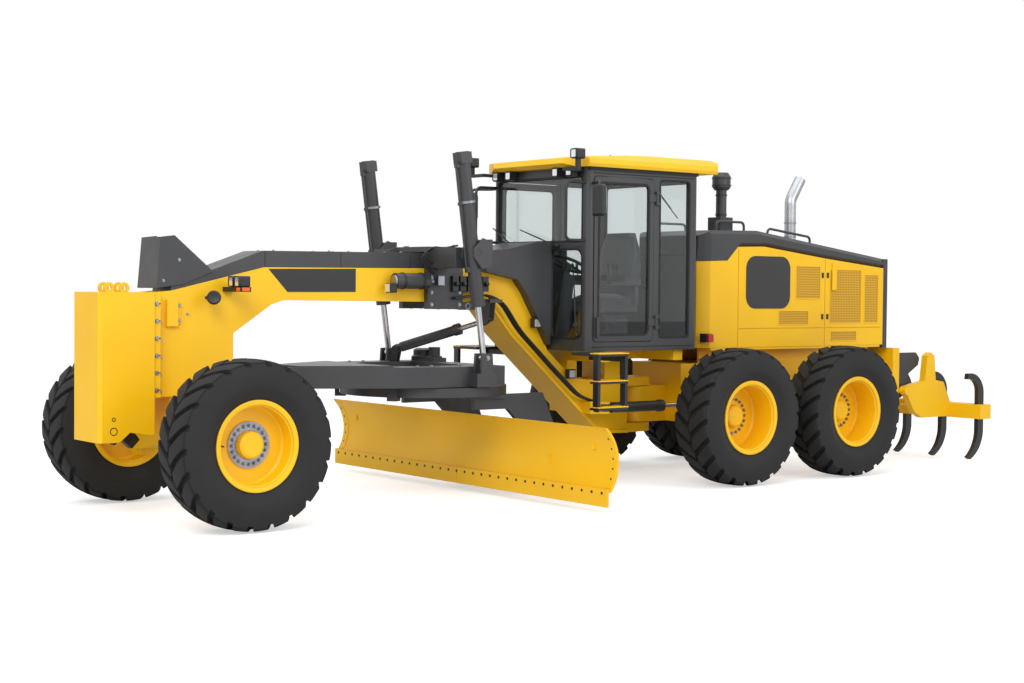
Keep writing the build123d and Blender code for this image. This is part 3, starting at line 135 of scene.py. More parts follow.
def prism(outline, low, high, across="y"):
    """Outline of (a, b) points pushed from low to high: (x, z) across y, (y, z) across x, (x, y) across z."""
    n = len(outline)
    rings = [np.column_stack([outline, np.full(n, level)])[:, ORDER[across]] for level in (low, high)]
    k = np.arange(n)
    walls = np.stack([k, (k + 1) % n, n + (k + 1) % n, n + k], axis=1)
    return np.concatenate(rings), [walls, k[None, ::-1], n + k[None, :]]


def slab(x0, x1, y0, y1, z0, z1):
    """Rectangular bar between two corners; its edges are rounded later where put is given a bevel."""
    return prism([(x0, z0), (x1, z0), (x1, z1), (x0, z1)], y0, y1)


def rounded_rectangle(a0, a1, b0, b1, radius, steps=5):
    """Outline of (a, b) points: four quarter circles of one radius, joined by straight sides."""
    t = np.linspace(0, np.pi / 2, steps)
    runs = []
    for a, b, quarter in ((a1, b1, 0), (a0, b1, 1), (a0, b0, 2), (a1, b0, 3)):
        turn = t + quarter * np.pi / 2
        centre_a = a - radius if quarter in (0, 3) else a + radius
        centre_b = b - radius if quarter in (0, 1) else b + radius
        runs.append(np.stack([centre_a + radius * np.cos(turn), centre_b + radius * np.sin(turn)], axis=1))
    return np.concatenate(runs)


def border(a0, a1, b0, b1, radius, width, low, high, across="y"):
    """Flat rounded frame: the outline and a smaller one inside it, joined on both faces and both edges."""
    outer = rounded_rectangle(a0, a1, b0, b1, radius)
    inner = rounded_rectangle(a0 + width, a1 - width, b0 + width, b1 - width, max(radius - width, 0.004))
    loops = [np.column_stack([line, np.full(len(line), level)])
             for line, level in ((outer, low), (inner, low), (inner, high), (outer, high))]
    return grid(np.stack(loops)[:, :, ORDER[across]], wrap_rows=True, wrap_columns=True)


# %% Turned pieces
def frame_of(direction):
    """Two unit vectors square to a direction and to each other."""
    direction = np.asarray(direction, float) / np.linalg.norm(direction)
    helper = np.array([0.0, 0.0, 1.0]) if abs(direction[2]) < 0.9 else np.array([1.0, 0.0, 0.0])
    side = np.cross(direction, helper)
    side /= np.linalg.norm(side)
    return side, np.cross(direction, side)


def turned(profile, centre, axis, steps):
    """Profile of (radius, height) points spun about an axis: centre + h * axis + r * (u cos t + v sin t)."""
    profile = np.asarray(profile, float)
    axis = np.asarray(axis, float) / np.linalg.norm(axis)
    u, v = frame_of(axis)
    t = np.arange(steps) * 2 * np.pi / steps
    spokes = np.cos(t)[:, None] * u + np.sin(t)[:, None] * v
    radius, height = profile[None, :, 0, None], profile[None, :, 1, None]
    return np.asarray(centre, float) + height * axis + radius * spokes[:, None]


def hoop(inner, outer, low, high, centre, axis, steps):
    """Ring of rectangular section about an axis, between two radii and two heights."""
    section = [(inner, low), (outer, low), (outer, high), (inner, high)]
    return grid(turned(section, centre, axis, steps), wrap_rows=True, wrap_columns=True)


def disc(profile, steps=24, centre=(0, 0, 0), axis=(0, 0, 1)):
    """A turned piece whose open profile of (radius, height) points starts and ends on its axis."""
    skin, faces = grid(turned(profile[1:-1], centre, axis, steps), wrap_rows=True)
    ends = turned([profile[0], profile[-1]], centre, axis, 1)[0]
    k = np.arange(steps)
    m = len(profile) - 2
    first = np.stack([k * m, np.full(steps, len(skin)), ((k + 1) % steps) * m], axis=1)
    last = np.stack([k * m + m - 1, ((k + 1) % steps) * m + m - 1, np.full(steps, len(skin) + 1)], axis=1)
    return np.concatenate([skin, ends]), faces + [first, last]


def stud(radius, height, steps=12):
    """Plain round or many-sided stub that stands on the origin."""
    return disc([(0, 0), (radius, 0), (radius, height), (0, height)], steps)


# %% Tubes and bolts
def rounded_path(corners, radius, steps=5):
    """Straight runs joined by arcs: each corner is swapped for a short curve that starts radius before it."""
    p = np.asarray(corners, float)
    line = [p[0][None]]
    t = np.linspace(0, 1, steps)[:, None]
    for before, corner, after in zip(p[:-2], p[1:-1], p[2:]):
        into = (before - corner) / np.linalg.norm(before - corner)
        away = (after - corner) / np.linalg.norm(after - corner)
        reach = min(radius, 0.45 * np.linalg.norm(before - corner), 0.45 * np.linalg.norm(after - corner))
        start, end = corner + into * reach, corner + away * reach
        line.append((1 - t) ** 2 * start + 2 * t * (1 - t) * corner + t**2 * end)
    line.append(p[-1][None])
    return np.concatenate(line)


def tube(path, radius, sides=10):
    """Round bar along a path: a ring of radius r at each point, carried on without twist, its ends closed."""
    path = np.asarray(path, float)
    ahead = np.gradient(path, axis=0)
    ahead /= np.linalg.norm(ahead, axis=1)[:, None]
    side, _ = frame_of(ahead[0])
    carried = []
    for direction in ahead:
        side = side - direction * (side @ direction)
        side = side / np.linalg.norm(side)
        carried.append(side)
    u = np.array(carried)
    v = np.cross(ahead, u)
    t = np.arange(sides) * 2 * np.pi / sides
    radius = np.broadcast_to(np.asarray(radius, float), (len(path),))
    points = path[:, None, :] + radius[:, None, None] * (
        np.cos(t)[None, :, None] * u[:, None, :] + np.sin(t)[None, :, None] * v[:, None, :]
    )
    skin, faces = grid(points, wrap_columns=True)
    k = np.arange(sides)
    return skin, faces + [k[None, :], (len(skin) - sides + k)[None, ::-1]]


def scattered(shape, places, axis=(0, 0, 1)):
    """Copies of a small shape, made about the origin with +Z up, stood along an axis at each place."""
    axis = np.asarray(axis, float) / np.linalg.norm(axis)
    u, v = frame_of(axis)
    stood = shape[0] @ np.stack([u, v, axis])
    places = np.asarray(places, float)
    points = (places[:, None, :] + stood[None]).reshape(-1, 3)
    step = np.arange(len(places)) * len(shape[0])
    faces = [(face[None] + step[:, None, None]).reshape(-1, face.shape[1]) for face in shape[1]]
    return points, faces


def bolts(size, places, axis=(0, 0, 1)):
    """Hexagon heads on washers, for a thread of that size: 1.74 times as wide over corners, 0.67 as high."""
    r, h, seat = 0.87 * size, 0.8 * size, 0.13 * size
    washer = disc([(0, 0), (1.1 * size, 0), (1.1 * size, 0.14 * size), (0, 0.14 * size)], 16)
    head = disc([(0, seat), (r, seat), (r, h - 0.1 * size), (0.86 * r, h), (0, h)], 6)
    return scattered(joined(washer, head), places, axis)


# %% From arrays to Blender
def put(name, shape, finish, body, bevel=0.0, angle=32):
    """Makes the shape an object with one finish that rides on a body; edges sharper than angle stay sharp."""
    points, faces = shape
    mesh = bpy.data.meshes.new(name)
    sizes = np.concatenate([np.full(len(face), face.shape[1]) for face in faces])
    corners = np.concatenate([face.ravel() for face in faces])
    mesh.vertices.add(len(points))
    mesh.vertices.foreach_set("co", points.astype(np.float32).ravel())
    mesh.loops.add(len(corners))
    mesh.loops.foreach_set("vertex_index", corners.astype(np.int32))
    mesh.polygons.add(len(sizes))
    mesh.polygons.foreach_set("loop_start", np.concatenate([[0], np.cumsum(sizes)[:-1]]).astype(np.int32))
    mesh.update(calc_edges=True)
    mesh.validate()
    work = bmesh.new()
    work.from_mesh(mesh)
    bmesh.ops.recalc_face_normals(work, faces=work.faces)
    work.to_mesh(mesh)
    work.free()
    mesh.polygons.foreach_set("use_smooth", np.ones(len(mesh.polygons), bool))
    mesh.set_sharp_from_angle(angle=math.radians(angle))
    mesh.materials.append(finish)
    piece = bpy.data.objects.new(name, mesh)
    bpy.context.scene.collection.objects.link(piece)
    if bevel > 0:
        edge = piece.modifiers.new("rounded edges", "BEVEL")
        edge.width = bevel
        edge.segments = 2
        edge.limit_method = "ANGLE"
        edge.angle_limit = math.radians(angle)
        edge.harden_normals = True
    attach(piece, body)
    return piece


def second_finish(piece, finish, test):
    """Gives another finish to the faces whose middles pass a test."""
    piece.data.materials.append(finish)
    middles = np.empty(3 * len(piece.data.polygons))
    piece.data.polygons.foreach_get("center", middles)
    piece.data.polygons.foreach_set("material_index", test(middles.reshape(-1, 3)).astype(np.int32))


# %% [markdown]
# ## Finishes
#
# Each finish starts from what the real surface is and how it was made. Colours are written as the
# sRGB hex a painter would match, and one function turns them to the linear values that Blender
# mixes light with. Patterns are sized in millimetres, on Object coordinates, which are the frame's
# own metres, so that the grain is the same on every piece.

# %% Colour and node helpers
def linear(code):
    """sRGB hex to linear RGBA: c / 12.92 below 0.04045, else ((c + 0.055) / 1.055) to the power 2.4."""
    c = np.array([int(code[k:k + 2], 16) for k in (1, 3, 5)]) / 255
    c = np.where(c <= 0.04045, c / 12.92, ((c + 0.055) / 1.055) ** 2.4)
    return (*c.tolist(), 1.0)


def add(tree, kind, links=None, inputs=None, **settings):
    """Adds one node, with its settings, its inputs' values, and the links that feed it."""
    node = tree.nodes.new(kind)
    for key, value in settings.items():
        setattr(node, key, value)
    for key, value in (inputs or {}).items():
        node.inputs[key].default_value = value
    for key, socket in (links or {}).items():
        tree.links.new(socket, node.inputs[key])
    return node


def finish_of(name, colour, roughness, **sockets):
    """A new material: its node tree and its one shader, with colour, roughness and other sockets set."""
    material = bpy.data.materials.new(name)
    material.use_nodes = True
    tree = material.node_tree
    shader = tree.nodes["Principled BSDF"]
    shader.inputs["Base Color"].default_value = linear(colour)
    shader.inputs["Roughness"].default_value = roughness
    for key, value in sockets.items():
        shader.inputs[key.replace("_", " ")].default_value = value
    material.diffuse_color = linear(colour)
    return material, tree, shader


def speckle(tree, size_mm, detail):
    """Noise whose grains are about size_mm across, on the frame's metres."""
    where = add(tree, "ShaderNodeTexCoord")
    return add(
        tree, "ShaderNodeTexNoise", links={"Vector": where.outputs["Object"]},
        inputs={"Scale": 1000 / size_mm, "Detail": detail},
    )


def ramped(tree, value, low, high, position=(0.3, 0.7)):
    """A colour between two hex codes, by a noise value."""
    ramp = add(tree, "ShaderNodeValToRGB", links={"Fac": value})
    for stop, place, colour in zip(ramp.color_ramp.elements, position, (low, high)):
        stop.position, stop.color = place, linear(colour)
    return ramp


def span(tree, value, low, high):
    """A noise value, mostly 0.3 to 0.7, spread over low to high."""
    return add(
        tree, "ShaderNodeMapRange", links={"Value": value},
        inputs={"From Min": 0.3, "From Max": 0.7, "To Min": low, "To Max": high},
    )


def bumped(tree, shader, height, depth_mm, strength=1.0, before=None):
    """Relief depth_mm deep under the light, from a height of 0 to 1."""
    links = {"Height": height}
    if before is not None:
        links["Normal"] = before.outputs["Normal"]
    bump = add(tree, "ShaderNodeBump", links=links, inputs={"Distance": depth_mm / 1000, "Strength": strength})
    tree.links.new(bump.outputs["Normal"], shader.inputs["Normal"])
    return bump


# %% [markdown]
# ### Machine enamel
#
# Sprayed two-pack enamel dries with a faint orange peel, about a centimetre from crest to crest on
# large sheets, and it is never quite even in gloss. The peel is far too shallow to see as shape, and
# it only softens what the paint mirrors.

# %% Machine enamel
def machine_enamel(name, colour, shade, roughness, coat):
    """Sprayed enamel: a little colour drift, orange peel, a clear top layer by coat, edges eased by 6 mm."""
    material, tree, shader = finish_of(name, colour, roughness, Coat_Weight=coat, Coat_Roughness=0.12)
    tint = ramped(tree, speckle(tree, 600, 1.0).outputs["Fac"], shade, colour)
    tree.links.new(tint.outputs["Color"], shader.inputs["Base Color"])
    gloss = span(tree, speckle(tree, 160, 3.0).outputs["Fac"], roughness - 0.05, roughness + 0.07)
    tree.links.new(gloss.outputs["Result"], shader.inputs["Roughness"])
    eased = add(tree, "ShaderNodeBevel", samples=4, inputs={"Radius": 0.006})
    bumped(tree, shader, speckle(tree, 9, 1.0).outputs["Fac"], 0.12, 0.5, eased)
    return material


YELLOW = machine_enamel("yellow machine enamel", "#F5C000", "#F0B900", 0.46, 0.0)
GREY = machine_enamel("dark grey machine enamel", "#38393B", "#303134", 0.42, 0.08)
BLACK = machine_enamel("black machine enamel", "#1C1D1F", "#161719", 0.40, 0.15)

# %% [markdown]
# ### Rubber, plastic and cloth
#
# Tyre rubber is moulded, so it is dull and even. Black plastic trim is moulded against an etched
# tool and has a fine grain. Hose rubber is smoother, and seat cloth is a plain weave of yarn under a
# millimetre thick.

# %% Rubber, plastic and cloth
def moulded(name, colour, shade, roughness, grain_mm, depth_mm):
    """Moulded rubber or plastic: a fine grain of that size, and a slow change of shade."""
    material, tree, shader = finish_of(name, colour, roughness)
    tint = ramped(tree, speckle(tree, 220, 3.0).outputs["Fac"], shade, colour)
    tree.links.new(tint.outputs["Color"], shader.inputs["Base Color"])
    bumped(tree, shader, speckle(tree, grain_mm, 2.0).outputs["Fac"], depth_mm)
    return material


TYRE = moulded("moulded tyre rubber", "#19191A", "#131314", 0.78, 5.0, 0.5)
# painted shade: a darker rubber for the floors of the tyre's grooves, where little light reaches
GROOVE_SHADE_RUBBER = moulded("tyre rubber, painted shade in the grooves", "#0C0C0D", "#080809", 0.85, 5.0, 0.5)
HOSE = moulded("hose rubber", "#1C1C1E", "#161617", 0.45, 3.0, 0.1)
PLASTIC = moulded("grained black plastic", "#1F2022", "#1A1B1D", 0.5, 2.5, 0.12)
GASKET = moulded("window seal rubber", "#141415", "#101011", 0.7, 2.0, 0.1)


def woven_cloth(name, colour, light):
    """Plain weave: sine ridges across and along, 6 mm apart, coarser than real yarn so that it shows; its colour
    is lighter on the ridges' tops, as painted highlight, and darker in the hollows between, as painted shade.
    """
    material, tree, shader = finish_of(name, colour, 0.9, Sheen_Weight=0.3)
    where = add(tree, "ShaderNodeTexCoord")
    along, across, up = [
        add(tree, "ShaderNodeTexWave", links={"Vector": where.outputs["Object"]}, bands_direction=direction,
            inputs={"Scale": 50.0, "Distortion": 0.0}).outputs["Fac"]
        for direction in ("X", "Y", "Z")
    ]
    warp = add(tree, "ShaderNodeMath", operation="MULTIPLY", links={0: along, 1: up})
    weave = add(tree, "ShaderNodeMath", operation="MAXIMUM", links={0: warp.outputs[0], 1: across})
    # painted highlight and shade: the cloth's colour is lighter where the weave stands high and darker in its
    # hollows
    tint = ramped(tree, weave.outputs[0], colour, light, (0.1, 0.9))
    tree.links.new(tint.outputs["Color"], shader.inputs["Base Color"])
    bumped(tree, shader, weave.outputs[0], 0.4, 0.6)
    return material


SEAT_CLOTH = woven_cloth("seat cloth, plain weave", "#3A3B3E", "#4A4B4F")

# %% [markdown]
# ### Metals, glass and lenses
#
# Ram rods are hard chrome, ground and polished. The exhaust is bright stainless tube. Bolts are zinc
# plated, and the blade's own bolts are raw steel that has gone dark. Window glass is nearly clear: a
# flat pane should not darken what it shades, so rays that only ask for shadow go straight through.
# Lamps are shut boxes here, so their lenses are a shiny surface and not real glass.

# %% Metals
def bare_metal(name, colour, shade, roughness, streak_mm):
    """Metal with its own colour: fine scratches change the gloss a little from place to place."""
    material, tree, shader = finish_of(name, colour, roughness, Metallic=1.0)
    tint = ramped(tree, speckle(tree, 90, 2.0).outputs["Fac"], shade, colour)
    tree.links.new(tint.outputs["Color"], shader.inputs["Base Color"])
    gloss = span(tree, speckle(tree, streak_mm, 4.0).outputs["Fac"], roughness - 0.05, roughness + 0.08)
    tree.links.new(gloss.outputs["Result"], shader.inputs["Roughness"])
    return material


CHROME = bare_metal("hard chrome, ground", "#D4D6DA", "#C4C7CC", 0.12, 12)
STAINLESS = bare_metal("bright stainless tube", "#B6B8BB", "#A2A4A8", 0.36, 60)
ZINC = bare_metal("zinc plated steel", "#A6A9B0", "#8D9098", 0.38, 6)
DARK_STEEL = bare_metal("dark raw steel", "#4A4B4D", "#38393A", 0.45, 10)


# %% Glass and lenses
def clear_glass(name, colour):
    """Solid glass for the eye and the mirror image, and clear air for shadow rays."""
    material, tree, shader = finish_of(name, colour, 0.0, Transmission_Weight=1.0, IOR=1.45)
    path = add(tree, "ShaderNodeLightPath")
    through = add(tree, "ShaderNodeBsdfTransparent", inputs={"Color": linear(colour)})
    mix = add(
        tree, "ShaderNodeMixShader",
        links={0: path.outputs["Is Shadow Ray"], 1: shader.outputs[0], 2: through.outputs[0]},
    )
    tree.links.new(mix.outputs[0], tree.nodes["Material Output"].inputs["Surface"])
    return material


GLASS = clear_glass("window glass, faint grey tint", "#E3E8E8")
RED_LENS, _, _ = finish_of("red lens", "#B3161B", 0.2, Coat_Weight=0.6)
MIRROR, _, _ = finish_of("mirror silver", "#DDE1E4", 0.03, Metallic=1.0)
WHITE_LENS, _, _ = finish_of("silvered lamp", "#E6E8EA", 0.12, Metallic=0.6, Coat_Weight=0.8)
AMBER_LENS, _, _ = finish_of("amber lens, lit by the room", "#E8590C", 0.2, Coat_Weight=0.6)
SIGN, _, _ = finish_of("gloss black sheet", "#121315", 0.25, Coat_Weight=0.4)

# %% [markdown]
# ### Screens
#
# The hood's screens are steel sheet pierced with small square holes, painted with the hood. At this distance the
# holes melt into a fine dark net, so the net is drawn 26 mm wide, coarser than the real one, as painted shade on
# a flat sheet. The sheet's own yellow is also drawn darker than the hood's enamel, as painted shade of the holes
# seen from afar.

# %% Pierced sheet
WAVE_STEP = 3.18                # waves to the metre at a Scale of 1, near enough


def pierced_sheet(name, colour, hole_shade, pitch_mm):
    """Painted sheet with rows of holes drawn as painted shade: the product of two waves, along X and up Z, cut
    at a height.
    """
    material, tree, shader = finish_of(name, colour, 0.45)
    where = add(tree, "ShaderNodeTexCoord")
    along, up = [
        add(tree, "ShaderNodeTexWave", links={"Vector": where.outputs["Object"]}, bands_direction=direction,
            inputs={"Scale": 1000 / pitch_mm / WAVE_STEP, "Distortion": 0.0}).outputs["Fac"]
        for direction in ("X", "Z")
    ]
    both_ways = add(tree, "ShaderNodeMath", operation="MULTIPLY", links={0: along, 1: up})
    # painted shade in the holes: the colour ramps to the hole's dark colour where both waves are high
    tint = ramped(tree, both_ways.outputs[0], colour, hole_shade, (0.2, 0.7))
    tree.links.new(tint.outputs["Color"], shader.inputs["Base Color"])
    return material


# painted shade: the holes of both sheets are dark, and the yellow sheet is drawn darker than the hood's enamel
SCREEN = pierced_sheet("pierced sheet, yellow", "#D29D0C", "#94700C", 26.0)
DARK_SCREEN = pierced_sheet("pierced sheet, dark", "#3A3B3D", "#0C0C0D", 20.0)
print(len(bpy.data.materials), "finishes")

# %% [markdown]
# ## Camera, floor and light
#
# The camera stands to the left of the machine and ahead of it, at eye height, and looks back along
# it. The floor is one flat pale sheet in a white room. The eye sees the floor a little brighter than
# its paint is, by a glow that no other piece receives, so that it stays white and keeps the
# machine's shadow. One large soft lamp hangs ahead, one at the left side and one above, and the
# white room fills the shadows.

# %% Camera
EYE = np.array([float(AXLE[0]) + 6.347, 12.565, 1.900])
YAW, PITCH, ROLL = np.radians([52.14, 1.76, 0.51])
LENS_MM, FILM_MM = 58.9, 36
SHIFT = (0.004424, -0.002441)   # of the film's width


def stood_at(right, up, ahead, place):
    """Matrix that stands a camera or lamp at a place, looking ahead."""
    turn = np.eye(4)
    turn[:3, 0], turn[:3, 1], turn[:3, 2], turn[:3, 3] = right, up, -ahead, place
    return Matrix(turn)


def set_camera():
    """The eye at its place, aimed by yaw, pitch and roll."""
    ahead = -np.array([math.cos(YAW) * math.cos(PITCH), math.sin(YAW) * math.cos(PITCH), math.sin(PITCH)])
    right = np.cross(ahead, (0, 0, 1))
    right /= np.linalg.norm(right)
    up = np.cross(right, ahead)
    right, up = right * math.cos(ROLL) + up * math.sin(ROLL), up * math.cos(ROLL) - right * math.sin(ROLL)
    data = bpy.data.cameras.new("camera")
    data.lens, data.sensor_width = LENS_MM, FILM_MM
    data.shift_x, data.shift_y = SHIFT
    camera = bpy.data.objects.new("camera", data)
    camera.matrix_world = stood_at(right, up, ahead, EYE)
    bpy.context.scene.collection.objects.link(camera)
    bpy.context.scene.camera = camera


set_camera()


# %% Floor
FLOOR_REACH = 60.0


def lay_floor():
    """A white sheet, flat under the machine; the room's white takes over far away."""
    steps = np.linspace(-FLOOR_REACH, FLOOR_REACH, 9)
    x, y = np.meshgrid(steps, steps, indexing="ij")
    points, faces = grid(np.stack([x, y, np.zeros_like(x)], axis=2))
    mesh = bpy.data.meshes.new("floor")
    mesh.from_pydata(points.tolist(), [], faces[0].tolist())
    material, tree, shader = finish_of("white studio floor", "#E6E6E6", 0.8, Specular_IOR_Level=0.2)
    path = add(tree, "ShaderNodeLightPath")
    glow = add(tree, "ShaderNodeEmission", links={"Strength": path.outputs["Is Camera Ray"]},
               inputs={"Color": (0.50, 0.50, 0.50, 1.0)})
    total = add(tree, "ShaderNodeAddShader", links={0: shader.outputs[0], 1: glow.outputs[0]})
    tree.links.new(total.outputs[0], tree.nodes["Material Output"].inputs["Surface"])
    mesh.materials.append(material)
    floor = bpy.data.objects.new("floor", mesh)
    bpy.context.scene.collection.objects.link(floor)


lay_floor()


# %% Lamps and room
ROOM_LIGHT = 0.60               # how strongly the white room lights the machine; the eye sees it at 1


def area_light(name, place, aim, size, power):
    """A soft box at a place, turned to face its aim."""
    data = bpy.data.lights.new(name, "AREA")
    data.shape = "RECTANGLE"
    data.size, data.size_y = size
    data.energy = power
    lamp = bpy.data.objects.new(name, data)
    ahead = np.asarray(aim, float) - np.asarray(place, float)
    ahead /= np.linalg.norm(ahead)
    side, _ = frame_of(ahead)
    lamp.matrix_world = stood_at(side, np.cross(-ahead, side), ahead, place)
    bpy.context.scene.collection.objects.link(lamp)


area_light("key", (11.0, 7.0, 9.0), (0.5, 0, 1.2), (9, 6), 1000)
area_light("side fill", (-4.0, 13.0, 7.0), (-1, 0, 1.2), (10, 6), 520)
area_light("top", (0.0, 0.0, 12.0), (0, 0, 0), (14, 8), 470)

world = bpy.data.worlds.new("white room")
bpy.context.scene.world = world
world.use_nodes = True
room = world.node_tree.nodes["Background"]
room.inputs["Color"].default_value = linear("#FFFFFF")
path = add(world.node_tree, "ShaderNodeLightPath")
seen = path.outputs["Is Camera Ray"]
for ray in ("Is Glossy Ray", "Is Transmission Ray"):
    seen = add(world.node_tree, "ShaderNodeMath", operation="MAXIMUM",
               links={0: seen, 1: path.outputs[ray]}).outputs[0]
strength = add(world.node_tree, "ShaderNodeMapRange", links={"Value": seen},
               inputs={"To Min": ROOM_LIGHT, "To Max": 1.0})
world.node_tree.links.new(strength.outputs["Result"], room.inputs["Strength"])
bpy.context.scene.view_settings.view_transform = "Standard"

# %% [markdown]
# ## Tyres
#
# A grader's tyre is a radial with a directional tread: two rows of slanted blocks that meet in a
# zigzag at the crown, so that it bites forward and cleans itself. The sidewall is nearly smooth.
# Each half of the tyre is one skin over a grid. Rows run from the crown to the bead, columns run
# round the wheel, and the columns lean with the rows so that the grid's own lines follow the edges
# of the blocks. That keeps each edge crisp with few faces. The grooves' floors are given a darker
# rubber, because little light reaches them.

# %% Tyre skin
TYRE_LOW, TYRE_HIGH = box_of("tyre_front_left")
TYRE_R = float(TYRE_HIGH[0] - TYRE_LOW[0]) / 2
TYRE_HALF = float(TYRE_HIGH[1] - TYRE_LOW[1]) / 2
SHOULDER = 0.93 * TYRE_HALF     # half width of the tread
BEAD_R = 0.353                  # where the sidewall goes into the rim
BLOCKS = 22                     # blocks in each row, round the tyre
PITCH_ANGLE = 2 * np.pi / BLOCKS
GROOVE = 0.034                  # depth of the grooves
LEAN = 0.75                     # how far a block runs round the tyre for each step across it
# one block's columns: share of the pitch, and 1 on the block's top or 0 on the groove's floor
SHARE = np.array([0.00, 0.26, 0.29, 0.42, 0.56, 0.69, 0.83, 0.970])
TOP = np.array([0, 0, 1, 1, 1, 1, 1, 1.0])
# rows from the crown outwards: share of the way across, and the block's height there
ACROSS = np.array([0.0, 0.035, 0.065, 0.2, 0.4, 0.6, 0.78, 0.90, 0.955, 0.99, 1.0])
HEIGHT = np.array([0, 0, 1, 1, 1, 1, 1, 1, 0.93, 0.55, 0.0])


def round_wheel(radius, angle, y):
    """Points at a radius and an angle about the wheel's axis, y along it."""
    return np.stack([radius * np.cos(angle), y, radius * np.sin(angle)], axis=2)


def tread_half(side):
    """Half a tyre, crown to bead: radius = outer - depth * (1 - mask), at angle = column + lean * across."""
    shifted = 0.5 if side < 0 else 0.0          # the two rows of blocks are half a pitch apart
    columns = (np.arange(BLOCKS)[:, None] + SHARE[None, :]).ravel() * PITCH_ANGLE
    t, c = np.meshgrid(ACROSS, columns, indexing="ij")
    h = HEIGHT[:, None] * np.tile(TOP, BLOCKS)[None, :]
    zigzag = side * 0.030 * (np.abs(((c / PITCH_ANGLE + shifted) % 1.0) * 2 - 1) - 0.5)
    angle = c + LEAN * t * SHOULDER / TYRE_R + shifted * PITCH_ANGLE
    radius = TYRE_R - GROOVE * (1 - h) - 0.020 * ACROSS[:, None]**3
    tread = round_wheel(radius, angle, side * (zigzag * (1 - t) ** 1.5 + t * SHOULDER))
    # the sidewall: an arc from the shoulder out to the bulge and in to the bead, with two moulded rings
    s = np.linspace(0, 1, 16)[1:, None]
    foot = TYRE_R - GROOVE - 0.020
    bulge = (TYRE_HALF - SHOULDER) * np.sin(np.pi * np.clip(s * 1.15, 0, 1))
    wall_y = SHOULDER + bulge - 0.035 * np.clip(s - 0.62, 0, 1) / 0.38
    wall_y = wall_y + 0.003 * (np.abs(s - 0.30) < 0.02) + 0.003 * (np.abs(s - 0.84) < 0.03)
    last = angle[-1:]
    wall = round_wheel(foot + (BEAD_R - foot) * s, last, side * np.repeat(wall_y, last.size, axis=1))
    bead = wall[-1:] * np.array([0.95, 0.97, 0.95])
    return grid(np.concatenate([tread, wall, bead]), wrap_columns=True)


def tyre_piece(which, hand):
    """Both halves of the tread at the wheel's own place, with darker rubber as painted shade on the floors of
    its grooves.
    """
    place = np.array(JOINT[f"roll_{which}_{hand}"]["pos_m"])
    points, faces = joined(tread_half(1), tread_half(-1))
    piece = put(f"tread_{which}_{hand}", (points + place, faces), TYRE, f"wheel_{which}_{hand}", angle=28)

    def in_groove(middles):
        """True for faces about as deep as a groove's floor, and not out on the sidewall."""
        away = middles - place
        deep = TYRE_R - np.hypot(away[:, 0], away[:, 2])
        return (deep > 0.7 * GROOVE) & (deep < 1.9 * GROOVE) & (np.abs(away[:, 1]) < 0.925 * TYRE_HALF)

    second_finish(piece, GROOVE_SHADE_RUBBER, in_groove)
    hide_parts(f"tyre_{which}_{hand}")


for which in ("front", "middle", "rear"):
    for hand in ("left", "right"):
        tyre_piece(which, hand)
print("tyres:", BLOCKS, "blocks a row, radius", TYRE_R, "half width", TYRE_HALF)

# %% [markdown]
# ## Wheel nuts
#
# A rim's disc is held by a circle of nuts. On the front wheels they sit on a bare steel ring round
# the hub, and on the rear wheels straight on the yellow disc. One nut is modelled about the origin
# and stood round the hub, twenty to a wheel.

# %% Nuts and hub rings
NUTS = 20                       # nuts on each wheel
RING_THICK = 0.005              # of the bare ring on a front wheel


def dress_rim(which, hand, side, radius, reach):
    """Valve, and nuts at centre + radius * (cos t, sin t) + reach outwards, on a bare ring on a front wheel."""
    centre = np.array(JOINT[f"roll_{which}_{hand}"]["pos_m"])
    body, outward = f"wheel_{which}_{hand}", (0, side, 0)
    if which == "front":
        plate = hoop(0.1125, 0.182, reach, reach + RING_THICK, centre, outward, 72)
        put(f"hub_ring_{which}_{hand}", plate, ZINC, body, bevel=0.0012)
        reach += RING_THICK
    nut = joined(
        stud(0.0165, 0.003),
        disc([(0, 0.002), (0.014, 0.002), (0.014, 0.014), (0.0118, 0.018), (0, 0.018)], 6),
        disc([(0, 0.01), (0.007, 0.01), (0.007, 0.026), (0, 0.026)], 8),
    )
    t = np.arange(NUTS) * 2 * np.pi / NUTS
    places = centre + np.stack([radius * np.cos(t), np.full(NUTS, side * reach), radius * np.sin(t)], axis=1)
    put(f"nuts_{which}_{hand}", scattered(nut, places, outward), ZINC, body)
    valve = disc([(0, 0), (0.006, 0), (0.006, 0.05), (0.004, 0.055), (0, 0.055)], 8,
                 centre + np.array([0.235, side * (reach - 0.02), 0.0]), outward)
    put(f"valve_{which}_{hand}", valve, BLACK, body)


for hand, side in (("left", 1), ("right", -1)):
    dress_rim("front", hand, side, 0.150, 0.037)
    for which in ("middle", "rear"):
        dress_rim(which, hand, side, 0.165, -0.078)
print("wheel nuts:", NUTS, "to a wheel")

# %% [markdown]
# ## Nose and push block
#
# The push block is bolted to the nose through a flange. Its bolts sit in a row down each side, each
# with a slot that lets the plate be shimmed. A rubber stop under the block, two rings pressed in its
# side and a small bracket behind the flange are all that breaks the flat yellow sides.

# %% Nose hardware
FLANGE_Z = np.linspace(1.05, 1.745, 6)          # heights of the flange's bolts
BLOCK_SIDE, FLANGE_SIDE = 0.250, 0.235          # half widths of the push block and its flange


def side_bolts(size, y, *places):
    """Bolts of one size on the left side face at y, for places of (distance behind the axle, height)."""
    return bolts(size, [(back(x), y, z) for x, z in places], (0, 1, 0))


